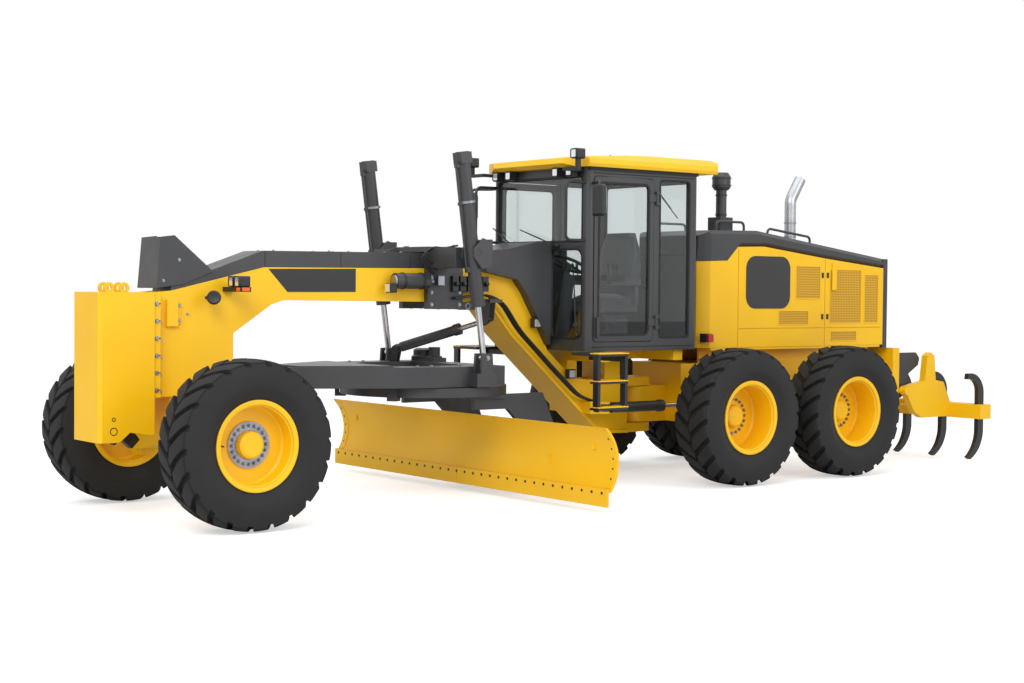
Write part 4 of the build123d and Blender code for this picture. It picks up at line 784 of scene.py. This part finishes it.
flange_bolts = [
    side_bolts(0.018, FLANGE_SIDE, *((-0.325, z) for z in FLANGE_Z)),
    side_bolts(0.014, BEAM_HALF, *((-0.262, z - 0.02) for z in FLANGE_Z[:5])),
    side_bolts(0.014, BEAM_HALF + 0.012, (-0.10, 1.61), (-0.10, 1.73)),
    side_bolts(0.012, BEAM_HALF, (-0.02, 1.66)),
]
# each slot in the flange is a thin black strip, painted shade where the slot's hollow is
shim_slot_shade = []
for z in FLANGE_Z:
    shim_slot_shade.append(slab(back(-0.312), back(-0.291), 0.2345, 0.2362, z - 0.004, z + 0.004))
    shim_slot_shade.append(slab(back(-0.289), back(-0.265), 0.1695, 0.1712, z - 0.004, z + 0.004))
brackets = [slab(back(-0.215), back(-0.115), BEAM_HALF, BEAM_HALF + 0.03, 1.56, 1.78),
            slab(back(-0.115), back(-0.085), BEAM_HALF, BEAM_HALF + 0.012, 1.58, 1.76)]
stop = [(back(-0.60), 0.655), (back(-0.50), 0.72), (back(-0.45), 0.655), (back(-0.52), 0.585)]
marks = [hoop(r - 0.006, r, 0, 0.002, (back(-0.70), BLOCK_SIDE, z), (0, 1, 0), 28)
         for z, r in ((0.735, 0.032), (0.83, 0.016))]
put("flange_bolts", both(*flange_bolts), ZINC, "chassis")
put("shim_slot_shade", both(*shim_slot_shade), GASKET, "chassis")
put("nose_brackets", both(*brackets), YELLOW, "chassis", bevel=0.003)
put("push_rubber", both(prism(stop, 0.12, 0.20)), HOSE, "chassis", bevel=0.006)
put("jack_marks", both(*marks), SIGN, "chassis")

# %% [markdown]
# ### Sign plates, head lamps and horn
#
# A long black plate lies along each side of the gooseneck, bare here. The head lamps stand in pairs
# on a bar across the nose, with an amber marker at its end and the horn behind it.

# %% Sign plates and lamps
sign = [(back(0.73), 2.040), (back(1.60), 2.052), (back(1.60), 1.850), (back(0.915), 1.846)]
put("sign_plates", both(prism(sign, BEAM_HALF + 0.0005, BEAM_HALF + 0.004)), SIGN, "chassis", bevel=0.001)

# lamps that look forward: distance behind the axle, y, z, width, height, depth
FORWARD_LAMPS = (
    (0.312, 0.330, 1.930, 0.066, 0.074, 0.024), (0.312, 0.430, 1.930, 0.066, 0.074, 0.024),
    (3.696, 0.360, 2.985, 0.072, 0.066, 0.012), (3.696, 0.560, 2.985, 0.072, 0.066, 0.012),
    (3.546, 0.81, 3.1325, 0.070, 0.072, 0.012),
)
lenses, bezels = [], []
for station, y, z, wide, high, depth in FORWARD_LAMPS:
    x, y0, y1, z0, z1 = back(station), y - wide / 2, y + wide / 2, z - high / 2, z + high / 2
    lenses.append(prism(rounded_rectangle(y0, y1, z0, z1, 0.012), x, x + depth, "x"))
    bezels.append(border(y0 - 0.007, y1 + 0.007, z0 - 0.007, z1 + 0.007, 0.016, 0.008, x, x + depth + 0.005,
                         "x"))
for x, z in ((3.585, 1.566), (4.02, 1.075)):
    # work lamps low on the arch, each a black box with its lens
    bezels.append(slab(back(x + 0.045), back(x - 0.045), 0.195, 0.25, z - 0.045, z + 0.045))
    lenses.append(slab(back(x + 0.034), back(x - 0.034), 0.2495, 0.256, z - 0.034, z + 0.034))
put("lamp_lenses", both(*lenses), WHITE_LENS, "chassis", bevel=0.003)
put("lamp_bezels", both(*bezels), PLASTIC, "chassis", bevel=0.002)
markers = both(
    prism(rounded_rectangle(0.415, 0.468, 1.848, 1.882, 0.012), back(0.2985), back(0.290), "x"),
    slab(back(0.385), back(0.315), 0.4705, 0.478, 1.850, 1.880),
)
put("marker_lamps", markers, AMBER_LENS, "chassis", bevel=0.004)
bell = [(0, 0), (0.050, 0), (0.058, 0.012), (0.058, 0.030), (0.045, 0.040), (0.020, 0.034), (0, 0.034)]
horn = disc(bell, 32, (back(0.150), 0.30, 1.795), (0.5, 1, 0.1))
stalk = tube([(back(0.150), 0.17, 1.795), (back(0.150), 0.30, 1.795)], 0.014)
put("horns", both(horn, stalk), PLASTIC, "chassis")

# %% [markdown]
# ## Cab glass, seals and fittings
#
# Each pane lies in a black rubber seal. The seal is drawn as a flat rounded frame round the pane,
# a little proud of the steel. Each door carries its own seal, pull and latch, which swing with it.

# %% Seals round the panes
CAB_Y = 0.720                   # outside of the doors
PANE_X = (back(4.625) + 0.061, back(3.865) - 0.061)
PANE_Z = (1.461, 2.889)
seal = border(PANE_X[0] - 0.010, PANE_X[1] + 0.010, PANE_Z[0] - 0.010, PANE_Z[1] + 0.010, 0.065, 0.024,
              CAB_Y + 0.001, CAB_Y + 0.0062)
pull_x, inside = PANE_X[1] - 0.02, CAB_Y - 0.012
fittings = joined(
    tube(rounded_path([(pull_x, inside, 1.72), (pull_x, CAB_Y - 0.075, 1.72), (pull_x, CAB_Y - 0.075, 2.28),
                       (pull_x, inside, 2.28)], 0.04), 0.011),
    tube([(PANE_X[0] - 0.02, CAB_Y - 0.06, 1.93), (PANE_X[1] + 0.02, CAB_Y - 0.06, 1.93)], 0.010),
    slab(PANE_X[1] - 0.115, PANE_X[1] - 0.015, CAB_Y - 0.045, inside, 1.52, 1.64),
)
for hand, seal, fittings in (("left", seal, fittings), ("right", mirrored(seal), mirrored(fittings))):
    put(f"door_seal_{hand}", seal, GASKET, f"door_{hand}", bevel=0.0015)
    put(f"door_fittings_{hand}", fittings, PLASTIC, f"door_{hand}", bevel=0.002)
FRONT_X = (back(3.812), back(3.787))
seals = both(
    border(back(5.105) - 0.004, back(4.700) + 0.004, 1.421, 2.954, 0.044, 0.020, CAB_Y - 0.012, CAB_Y + 0.003),
    border(0.146, 0.654, 1.416, 2.274, 0.094, 0.020, *FRONT_X, "x"),
)
wide_seals = joined(border(-0.654, 0.654, 2.326, 2.954, 0.054, 0.022, *FRONT_X, "x"),
                    border(-0.654, 0.654, 2.226, 2.954, 0.054, 0.022, back(5.223), back(5.205), "x"))
put("window_seals", joined(seals, wide_seals), GASKET, "chassis", bevel=0.002)

# %% [markdown]
# ### Wipers, mirrors, lamps and aerial
#
# Wipers park along the foot of their panes. Each is an arm on a pivot, with a thin blade that lies
# along the glass. The mirror's silver looks back, and a short aerial stands on the roof.

# %% Cab fittings
def wiper(x, pivot, tip, lift):
    """Arm from pivot to tip, and a blade across its end, both lifted a little way off the glass at x."""
    pivot, tip = np.array([x, *pivot]), np.array([x, *tip])
    along, step = tip - pivot, np.array([lift, 0.0, 0.0])
    return joined(
        tube([pivot, pivot + step, tip + step], [0.010, 0.008, 0.005], 8),
        tube([tip - along * 0.42 + step * 0.6, tip + along * 0.34 + step * 0.6], 0.006, 6),
        disc([(0, 0), (0.018, 0), (0.018, 0.022), (0.010, 0.030), (0, 0.030)], 14, pivot, step),
    )


AERIAL = (back(4.30), 0.45)
glass_x = FRONT_X[1]
wipers = joined(
    wiper(glass_x, (0.30, 2.300), (-0.12, 2.42), 0.028), wiper(glass_x, (-0.36, 2.300), (-0.62, 2.44), 0.020),
    wiper(glass_x, (0.60, 1.46), (0.56, 1.85), 0.020), wiper(glass_x, (-0.60, 1.46), (-0.56, 1.85), 0.020),
    wiper(back(5.223), (0.0, 2.98), (0.30, 2.70), -0.028),
)
put("wipers", wipers, PLASTIC, "chassis")
silver = prism(rounded_rectangle(0.9075, 1.0475, 2.585, 2.825, 0.022), back(3.7372), back(3.7345), "x")
put("mirror_silver", both(silver), MIRROR, "chassis")
aerial = joined(
    disc([(0, 0), (0.020, 0), (0.018, 0.02), (0.006, 0.05), (0, 0.05)], 14, (*AERIAL, 3.125)),
    tube([(*AERIAL, 3.06), (*AERIAL, 3.18)], 0.004, 6),
)
put("aerial", aerial, PLASTIC, "chassis")
roof_lamp = slab(back(5.518), back(5.500), 0.54, 0.66, 3.070, 3.130)
put("roof_rear_lamps", both(roof_lamp), PLASTIC, "chassis", bevel=0.006)
gutter = [slab(back(5.20), back(3.80), 0.715, 0.735, 3.000, 3.030)]
gutter += [slab(back(5.15), back(3.86), 0.7195, 0.7235, z - 0.004, z + 0.004) for z in (1.350, 2.975)]
put("cab_seams", both(*gutter), GASKET, "chassis")

# %% [markdown]
# ### Inside the cab
#
# Through the glass one sees the seat, two small lever pods on the arm rests and a screen on the
# right-hand post. The seat's cushion and back are padded cloth: each is a closed crowned form,
# rounder in the middle than at its rim, set over the seat's hard shell.

# %% Seat
FLOOR_Z = 1.372                 # the cab's floor
SEAT_X = back(4.62)


def cushion(centre, half, turn=0.0, power=4.0, crown=0.35):
    """Pillow over a sphere's grid: |x/a|^p + |y/b|^p + |z/c|^p = 1, thinner towards its rim."""
    u = np.linspace(-np.pi / 2, np.pi / 2, 25)
    v = np.linspace(0, 2 * np.pi, 49)[:-1]
    u, v = np.meshgrid(u, v, indexing="ij")

    def wave(value, rate):
        return np.sign(value) * np.abs(value) ** rate

    e = 2.0 / power
    p = np.stack([wave(np.cos(u), e) * wave(np.cos(v), e), wave(np.cos(u), e) * wave(np.sin(v), e),
                  wave(np.sin(u), 0.8)], axis=2)
    rim = np.maximum(np.abs(p[..., 0]), np.abs(p[..., 1]))
    p[..., 2] *= 1 - crown * rim**3
    lean = np.array([[math.cos(turn), 0, math.sin(turn)], [0, 1, 0], [-math.sin(turn), 0, math.cos(turn)]])
    return grid((p * np.asarray(half)) @ lean.T + np.asarray(centre), wrap_columns=True)


pads = {
    "seat_cushion": cushion((SEAT_X + 0.005, 0, FLOOR_Z + 0.392), (0.262, 0.252, 0.085)),
    "seat_back": cushion((SEAT_X - 0.170, 0, FLOOR_Z + 0.73), (0.345, 0.245, 0.085), math.radians(81)),
}
for name, shape in pads.items():
    pad = put(name, shape, SEAT_CLOTH, "chassis")

# %% Levers and screen
LEVER = [(0, 0), (0.006, 0), (0.006, 0.06), (0.014, 0.08), (0.014, 0.11), (0.006, 0.125), (0, 0.125)]
levers = [disc(LEVER, 10, (SEAT_X + 0.08 + 0.055 * k, 0.30, FLOOR_Z + 0.655), (0.1, 0, 1)) for k in range(3)]
pods = joined(
    both(slab(SEAT_X + 0.02, SEAT_X + 0.26, 0.255, 0.345, FLOOR_Z + 0.60, FLOOR_Z + 0.66), *levers),
    slab(back(4.02), back(3.985), -0.62, -0.44, 2.02, 2.15),
    tube([(back(4.0), -0.53, 1.80), (back(4.0), -0.53, 2.03)], 0.012, 8),
    slab(back(4.95), back(4.20), -0.655, -0.40, FLOOR_Z, FLOOR_Z + 0.34),
)
put("lever_pods", pods, PLASTIC, "chassis", bevel=0.004)
put("cab_screen", slab(back(4.0215), back(4.0195), -0.605, -0.455, 2.035, 2.135), SIGN, "chassis")

# %% [markdown]
# ## Hood
#
# Flat pierced screens fill the openings of the hood's side doors, ahead of the slats that stiffen
# them. A long handle, latches, a bare dark plate on the side and the rear lamps are the rest
# of what is seen on it.

# %% Screens and doors
HOOD_Y = 0.530                  # outside of the hood's doors
# front and rear edge behind the axle, foot and top of each screen
SCREENS = ((6.840, 7.210, 1.810, 2.150), (6.580, 7.030, 1.540, 1.680), (7.370, 7.870, 1.550, 2.120),
           (7.930, 8.150, 1.550, 2.070), (7.390, 7.800, 1.360, 1.460))
panels = [slab(back(x1), back(x0), HOOD_Y - 0.0045, HOOD_Y - 0.0015, z0 + 0.001, z1 - 0.001)
          for x0, x1, z0, z1 in SCREENS]
rims = [border(back(x1) - 0.008, back(x0) + 0.008, z0 - 0.008, z1 + 0.008, 0.014, 0.012, HOOD_Y, HOOD_Y + 0.003)
        for x0, x1, z0, z1 in SCREENS]
put("hood_screens", both(*panels), SCREEN, "rear")
put("screen_rims", both(*rims), YELLOW, "rear", bevel=0.001)
plate = rounded_rectangle(back(6.745), back(6.090), 1.706, 2.246, 0.13, 9)
put("door_plates", both(prism(plate, HOOD_Y + 0.0005, HOOD_Y + 0.005)), SIGN, "rear", bevel=0.0012)
handle = slab(back(7.462), back(7.392), HOOD_Y, HOOD_Y + 0.018, 1.90, 2.195)
put("hood_handles", both(handle), YELLOW, "rear", bevel=0.006)
latches = [slab(back(x) - 0.016, back(x) + 0.016, HOOD_Y, HOOD_Y + 0.007, z - 0.028, z + 0.028)
           for x in (7.33, 7.25) for z in (1.62, 2.06)]
put("hood_latches", both(*latches), BLACK, "rear", bevel=0.003)

# %% Rear lamps, radiator, intake and exhaust
INTAKE = (back(6.0), 0.25, 0)
EXHAUST = (back(7.310), 0, 0)
UP = (0, 0, 1)
tail_lamps = both(slab(back(8.345), back(8.338), 0.40, 0.46, 1.50, 1.62),
                  slab(back(5.545), back(5.475), 0.595, 0.625, 1.375, 1.452))
put("tail_lamps", tail_lamps, RED_LENS, "rear", bevel=0.006)
lamp_backs = both(slab(back(5.55), back(5.47), 0.50, 0.598, 1.37, 1.457))
put("tail_lamp_backs", lamp_backs, PLASTIC, "rear", bevel=0.004)
put("radiator_core", slab(back(8.275), back(8.265), -0.43, 0.43, 1.42, 2.13), DARK_SCREEN, "rear")
bands = [hoop(0.0955, 0.1005, z, z + 0.014, INTAKE, UP, 40) for z in (2.962, 3.035)]
bands += [hoop(0.055, 0.060, z, z + 0.018, INTAKE, UP, 32) for z in (2.66, 2.86)]
bands += [slab(INTAKE[0] - 0.004, INTAKE[0] + 0.004, INTAKE[1] + a, INTAKE[1] + b, 2.978, 3.034)
          for a, b in ((0.075, 0.097), (-0.097, -0.075))]
put("intake_bands", joined(*bands), PLASTIC, "rear", bevel=0.002)
clamps = [hoop(0.062, 0.067, z, z + 0.02, EXHAUST, UP, 36) for z in (2.47, 2.62)]
put("exhaust_clamps", joined(*clamps), ZINC, "rear", bevel=0.001)
print("hood: screens", len(SCREENS), "a side")

# %% [markdown]
# ## Blade bolts
#
# The cutting edges are held by plough bolts through the blade's foot, at about eight to the metre,
# with their domed heads in front. Five more hold the end plate at each end, along the blade's own
# curve.

# %% Blade
BLADE_X = back(2.870)           # face of the cutting edges
BLADE_LOW, BLADE_HIGH = box_of("moldboard")
BLADE_MID = float(BLADE_LOW[1] + BLADE_HIGH[1]) / 2
BLADE_END = float(BLADE_HIGH[1] - BLADE_LOW[1]) / 2
PLOUGH_BOLTS = 33
# foot, middle and top of the blade's front, as (x, z)
CURVE = ((BLADE_X - 0.020, 0.190), (BLADE_X - 0.105, 0.4625), (BLADE_X + 0.030, 0.735))
dome = disc([(0, 0), (0.013, 0), (0.0115, 0.004), (0.006, 0.0062), (0, 0.007)], 12)
row = BLADE_MID + np.linspace(-BLADE_END + 0.07, BLADE_END - 0.07, PLOUGH_BOLTS)
places = np.stack([np.full(PLOUGH_BOLTS, BLADE_X), row, np.full(PLOUGH_BOLTS, 0.185)], axis=1)
put("plough_bolts", scattered(dome, places, (1, 0, 0)), DARK_STEEL, "blade")


def arc_through(points):
    """Centre and radius of the circle through three points: it is as far from the first as from the others."""
    pairs = list(zip(points[:-1], points[1:]))
    a = np.array([[2 * (q[0] - p[0]), 2 * (q[1] - p[1])] for p, q in pairs])
    b = np.array([q[0]**2 + q[1]**2 - p[0]**2 - p[1]**2 for p, q in pairs])
    centre = np.linalg.solve(a, b)
    return centre, math.hypot(points[0][0] - centre[0], points[0][1] - centre[1])


HOLLOW, HOLLOW_R = arc_through(CURVE)


def blade_face(z):
    """X of the blade's front at a height, on its arc."""
    return HOLLOW[0] - np.sqrt(HOLLOW_R**2 - (z - HOLLOW[1])**2)


heads = []
for z in (0.30, 0.385, 0.470, 0.555, 0.640):
    x = blade_face(z)
    ends = [(x, BLADE_MID + side * (BLADE_END - 0.045), z) for side in (1, -1)]
    heads.append(scattered(dome, ends, (HOLLOW[0] - x, 0, HOLLOW[1] - z)))
put("end_bolts", joined(*heads), DARK_STEEL, "blade")
# the end plates: a band that follows the curve, 4.5 mm proud
BAND = 0.092
heights = np.linspace(0.225, 0.715, 24)
face = blade_face(heights)
outline = np.concatenate([np.stack([face + 0.0045, heights], 1), np.stack([face - 0.002, heights], 1)[::-1]])
bands = [prism(outline, BLADE_MID + side * (BLADE_END - BAND), BLADE_MID + side * BLADE_END) for side in (1, -1)]
put("end_plates", joined(*bands), YELLOW, "blade", bevel=0.0015)

# %% [markdown]
# ## Pipes and blocks on the lift rams
#
# A steel pipe runs down each lift ram to feed its lower end, held by a band, between square ports.
# They follow the barrel's own line, from the fork's pin to the eye of the rod.

# %% Lift rams
PIN = np.array([back(2.440), 0.750, 2.200])
ROD_EYE = np.array([back(2.570), 0.750, 1.275])
DOWN = (ROD_EYE - PIN) / np.linalg.norm(ROD_EYE - PIN)
AHEAD, OUT = -np.cross((0, 1, 0), DOWN), np.array([0, 1.0, 0])
TOP_END = float(PIN[2] - box_of("lift_barrel_left")[1][2]) + 0.01


def beside(distance, ahead):
    """A place by the left ram's line: so far down from the pin, and so far ahead of it."""
    return PIN + DOWN * distance + AHEAD * ahead


def block_on_ram(distance, ahead, half):
    """Box of half sizes (forward, outward, along) whose middle lies beside the ram's line, square to it."""
    corners = np.array([[i, j, k] for i in (-1, 1) for j in (-1, 1) for k in (-1, 1)], float) * np.asarray(half)
    faces = np.array([(0, 1, 3, 2), (4, 6, 7, 5), (0, 4, 5, 1), (2, 3, 7, 6), (0, 2, 6, 4), (1, 5, 7, 3)])
    return beside(distance, ahead) + corners @ np.stack([AHEAD, OUT, DOWN]), [faces]


route = [beside(TOP_END + 0.10, 0.045), beside(TOP_END + 0.10, 0.082), beside(0.14, 0.082), beside(0.14, 0.055)]
pipes = joined(
    tube(rounded_path(route, 0.02), 0.0095),
    block_on_ram(TOP_END + 0.045, 0, (0.058, 0.062, 0.05)),
    block_on_ram(TOP_END + 0.10, 0.062, (0.022, 0.024, 0.026)),
    block_on_ram(0.14, 0.066, (0.022, 0.022, 0.024)),
    block_on_ram(TOP_END + 0.44, 0.072, (0.018, 0.02, 0.014)),
)
band = hoop(0.066, 0.073, TOP_END + 0.42, TOP_END + 0.442, PIN, DOWN, 36)
for kind, shape, finish, bevel in (("pipes", pipes, GREY, 0.002), ("bands", band, ZINC, 0.001)):
    put(f"lift_{kind}_left", shape, finish, "lift_barrel_left", bevel)
    put(f"lift_{kind}_right", mirrored(shape), finish, "lift_barrel_right", bevel)

# %% [markdown]
# ## Saddle, accumulator and pipes
#
# The saddle clamps round the gooseneck. On its left hangs a gas accumulator with two straps and its
# valve, and a bundle of steel pipes runs back along the beam and down over the arch to the
# articulation joint. Pipes are bent on a former, so that they are straight runs joined by arcs.

# %% Accumulator and its lamp
CAN = (back(2.1375), 0.245, 1.950)
straps = [hoop(0.0702, 0.075, x, x + 0.022, CAN, (1, 0, 0), 40) for x in (-0.115, 0.085)]
put("accumulator_straps", joined(*straps), BLACK, "chassis", bevel=0.001)
valve = joined(
    disc([(0, 0), (0.045, 0), (0.045, 0.02), (0.022, 0.03), (0.022, 0.06), (0, 0.06)], 24,
         (CAN[0] - 0.178, CAN[1], CAN[2]), (-1, 0, 0)),
    disc([(0, 0), (0.016, 0), (0.016, 0.05), (0, 0.05)], 12, (CAN[0] - 0.225, CAN[1], CAN[2])),
    disc([(0, 0), (0.055, 0), (0.050, 0.014), (0, 0.020)], 28, (CAN[0] + 0.178, CAN[1], CAN[2]), (1, 0, 0)),
    slab(CAN[0] - 0.34, CAN[0] - 0.27, 0.232, 0.285, 1.915, 2.000),
)
put("accumulator_valve", valve, ZINC, "chassis", bevel=0.002)
lamp = slab(back(1.955), back(1.875), 0.215, 0.30, 1.845, 1.93)
lens = slab(back(1.872), back(1.8765), 0.222, 0.293, 1.852, 1.923)
put("side_work_lamp", both(lamp), PLASTIC, "chassis", bevel=0.01)
put("side_work_lens", both(lens), WHITE_LENS, "chassis", bevel=0.003)

# %% Pipes, valves and saddle
runs = []
for k in range(3):
    y = 0.245 + 0.028 * k
    route = [(2.40, y, 2.02 + 0.03 * k), (2.31, y, 2.06 + 0.03 * k), (2.24, y, 2.16 + 0.02 * k),
             (2.33, y, 2.235 + 0.012 * k), (2.46, y, 2.225 + 0.012 * k), (2.52, y + 0.12, 2.272)]
    runs.append(tube(rounded_path([(back(x), y, z) for x, y, z in route], 0.08), 0.0085, 8))
for k in range(4):
    y = 0.215 + 0.022 * k
    route = [(2.60, 1.80), (2.98, 1.835), (3.16, 1.76), (3.36, 1.50), (3.75, 1.155), (4.10, 0.86), (4.30, 0.80)]
    runs.append(tube(rounded_path([(back(x), y, z) for x, z in route], 0.10), 0.010, 8))
put("steel_pipes", both(*runs), HOSE, "chassis")
sections = []
for x in (back(2.62 + 0.085 * k) for k in range(5)):
    sections.append(slab(x - 0.034, x + 0.034, 0.172, 0.262, 1.86, 2.00))
    spool = [(0, 0), (0.022, 0), (0.022, 0.03), (0.012, 0.04), (0, 0.04)]
    sections.append(disc(spool, 14, (x, 0.262, 1.93), (0, 1, 0)))
put("valve_sections", both(*sections), BLACK, "chassis", bevel=0.003)
holes = [hoop(0.020, 0.030, 0, 0.004, (back(2.46 + 0.11 * k), 0.2152, 1.725), (0, 1, 0), 20) for k in range(4)]
put("lock_holes", both(*holes), ZINC, "chassis", bevel=0.001)
saddle_bolts = side_bolts(0.018, 0.2302, *((x, z) for x in (2.37, 2.68) for z in (1.74, 1.85, 2.12, 2.20)))
put("saddle_bolts", both(saddle_bolts), ZINC, "chassis")

# %% [markdown]
# ## Cover seams and bolts
#
# The gooseneck's cover is pressed sheet in lengths that are butted together and bolted down. Its
# seams and bolts are small, but they tell how large the machine is.

# %% Gooseneck cover and drawbar
seams = [slab(back(x + 0.003), back(x - 0.003), 0.1645, 0.1662, z - 0.135, z - 0.004)
         for x, z in ((0.70, 2.192), (1.45, 2.197), (2.18, 2.203))]
put("cover_seams", both(*seams), GASKET, "chassis")
crest = ((0.80, 2.1935), (1.35, 2.198), (1.55, 2.1995), (2.10, 2.204))
caps = bolts(0.012, [(back(x), 0.13, z) for x, z in crest])
put("cover_bolts", both(caps, side_bolts(0.014, 0.1771, (-0.24, 1.93), (-0.10, 2.10))), ZINC, "chassis")
DRIVE_X, DRIVE_Z = back(2.775), 1.234           # top of the drive housing on the drawbar
drive = joined(
    disc([(0, 0), (0.115, 0), (0.115, 0.012), (0.10, 0.02), (0.10, 0.07), (0.075, 0.085), (0, 0.085)], 40,
         (DRIVE_X, -0.46, DRIVE_Z)),
    disc([(0, 0), (0.075, 0), (0.075, 0.012), (0.055, 0.02), (0.055, 0.10), (0, 0.10)], 32,
         (DRIVE_X, -0.29, DRIVE_Z)),
)
put("circle_motor", drive, GREY, "drawbar", bevel=0.002)
lids = bolts(0.016, [(back(x), 0.55, 1.2005) for x in (2.0, 2.15, 2.45, 2.8)])
put("drawbar_bolts", both(lids), ZINC, "drawbar")
put("lift_eye_bolts", both(side_bolts(0.022, 0.8125, (2.57, 1.275))), ZINC, "drawbar")

# %% [markdown]
# ## Steps
#
# The ladder's treads are yellow pressed plate with raised dimples, hung between black rails, so
# that a wet boot keeps its grip.

# %% Ladder treads
dimple = disc([(0, 0), (0.009, 0), (0.006, 0.005), (0, 0.005)], 8)
treads = []
for z in (0.815, 1.055, 1.305):
    dimples = [(back(x), y, z + 0.005) for x in np.linspace(3.63, 3.93, 9) for y in (1.025, 1.062, 1.100)]
    treads += [slab(back(3.964), back(3.596), 1.000, 1.124, z - 0.004, z + 0.006), scattered(dimple, dimples)]
put("ladder_treads", both(*treads), YELLOW, "chassis", bevel=0.0015)

# %% [markdown]
# ## Finishes on the CAD pieces
#
# Each steel piece keeps its own shape, and only its finish is chosen here. Sheet and plate never
# leave a press with knife edges, so the enamel itself rounds the light over its edges by 6 mm. A
# door's pane is part of the door's steel in the model, so its two large faces are found by where
# they lie and get the glass. The brackets behind the rear frame are dark.

# %% Paint the CAD pieces
PANE_LOW, PANE_HIGH = 0.7055, 0.7125            # the door panes' faces lie between these planes
BRACKETS_X = back(8.452)                        # the dark brackets lie behind this station
PAINTED = {
    YELLOW: "main_frame push_block front_axle lean_yoke lean_bar knuckle rim moldboard cutting_edges hood "
            "cab_roof rear_frame tandem_cases ripper_frame",
    GREY: "frame_covers drawbar circle tilt_carrier saddle cab_shell door hood_covers engine_block "
          "lift_barrel artic_barrel side_barrel tilt_barrel ripper_barrel",
    BLACK: "tie_rod_joint tie_rod rails_and_steps ripper_shanks",
    CHROME: "lift_rod artic_rod side_rod tilt_rod ripper_rod",
    PLASTIC: "cab_console lamps", GLASS: "cab_glass", SEAT_CLOTH: "cab_seat", STAINLESS: "exhaust",
    TYRE: "tyre",
}
FINISH = {start: finish for finish, starts in PAINTED.items() for start in starts.split()}

for node, piece in frame["nodes"].items():
    # the longest start of the node's name decides
    start = max((start for start in FINISH if node.startswith(start)), key=len)
    piece.data.materials.clear()
    piece.data.materials.append(FINISH[start])
    if node == "rear_frame":
        second_finish(piece, GREY, lambda middles: middles[:, 0] < BRACKETS_X)
    if start == "door":
        second_finish(piece, GLASS, lambda middles: (np.abs(middles[:, 1]) > PANE_LOW)
                      & (np.abs(middles[:, 1]) < PANE_HIGH))
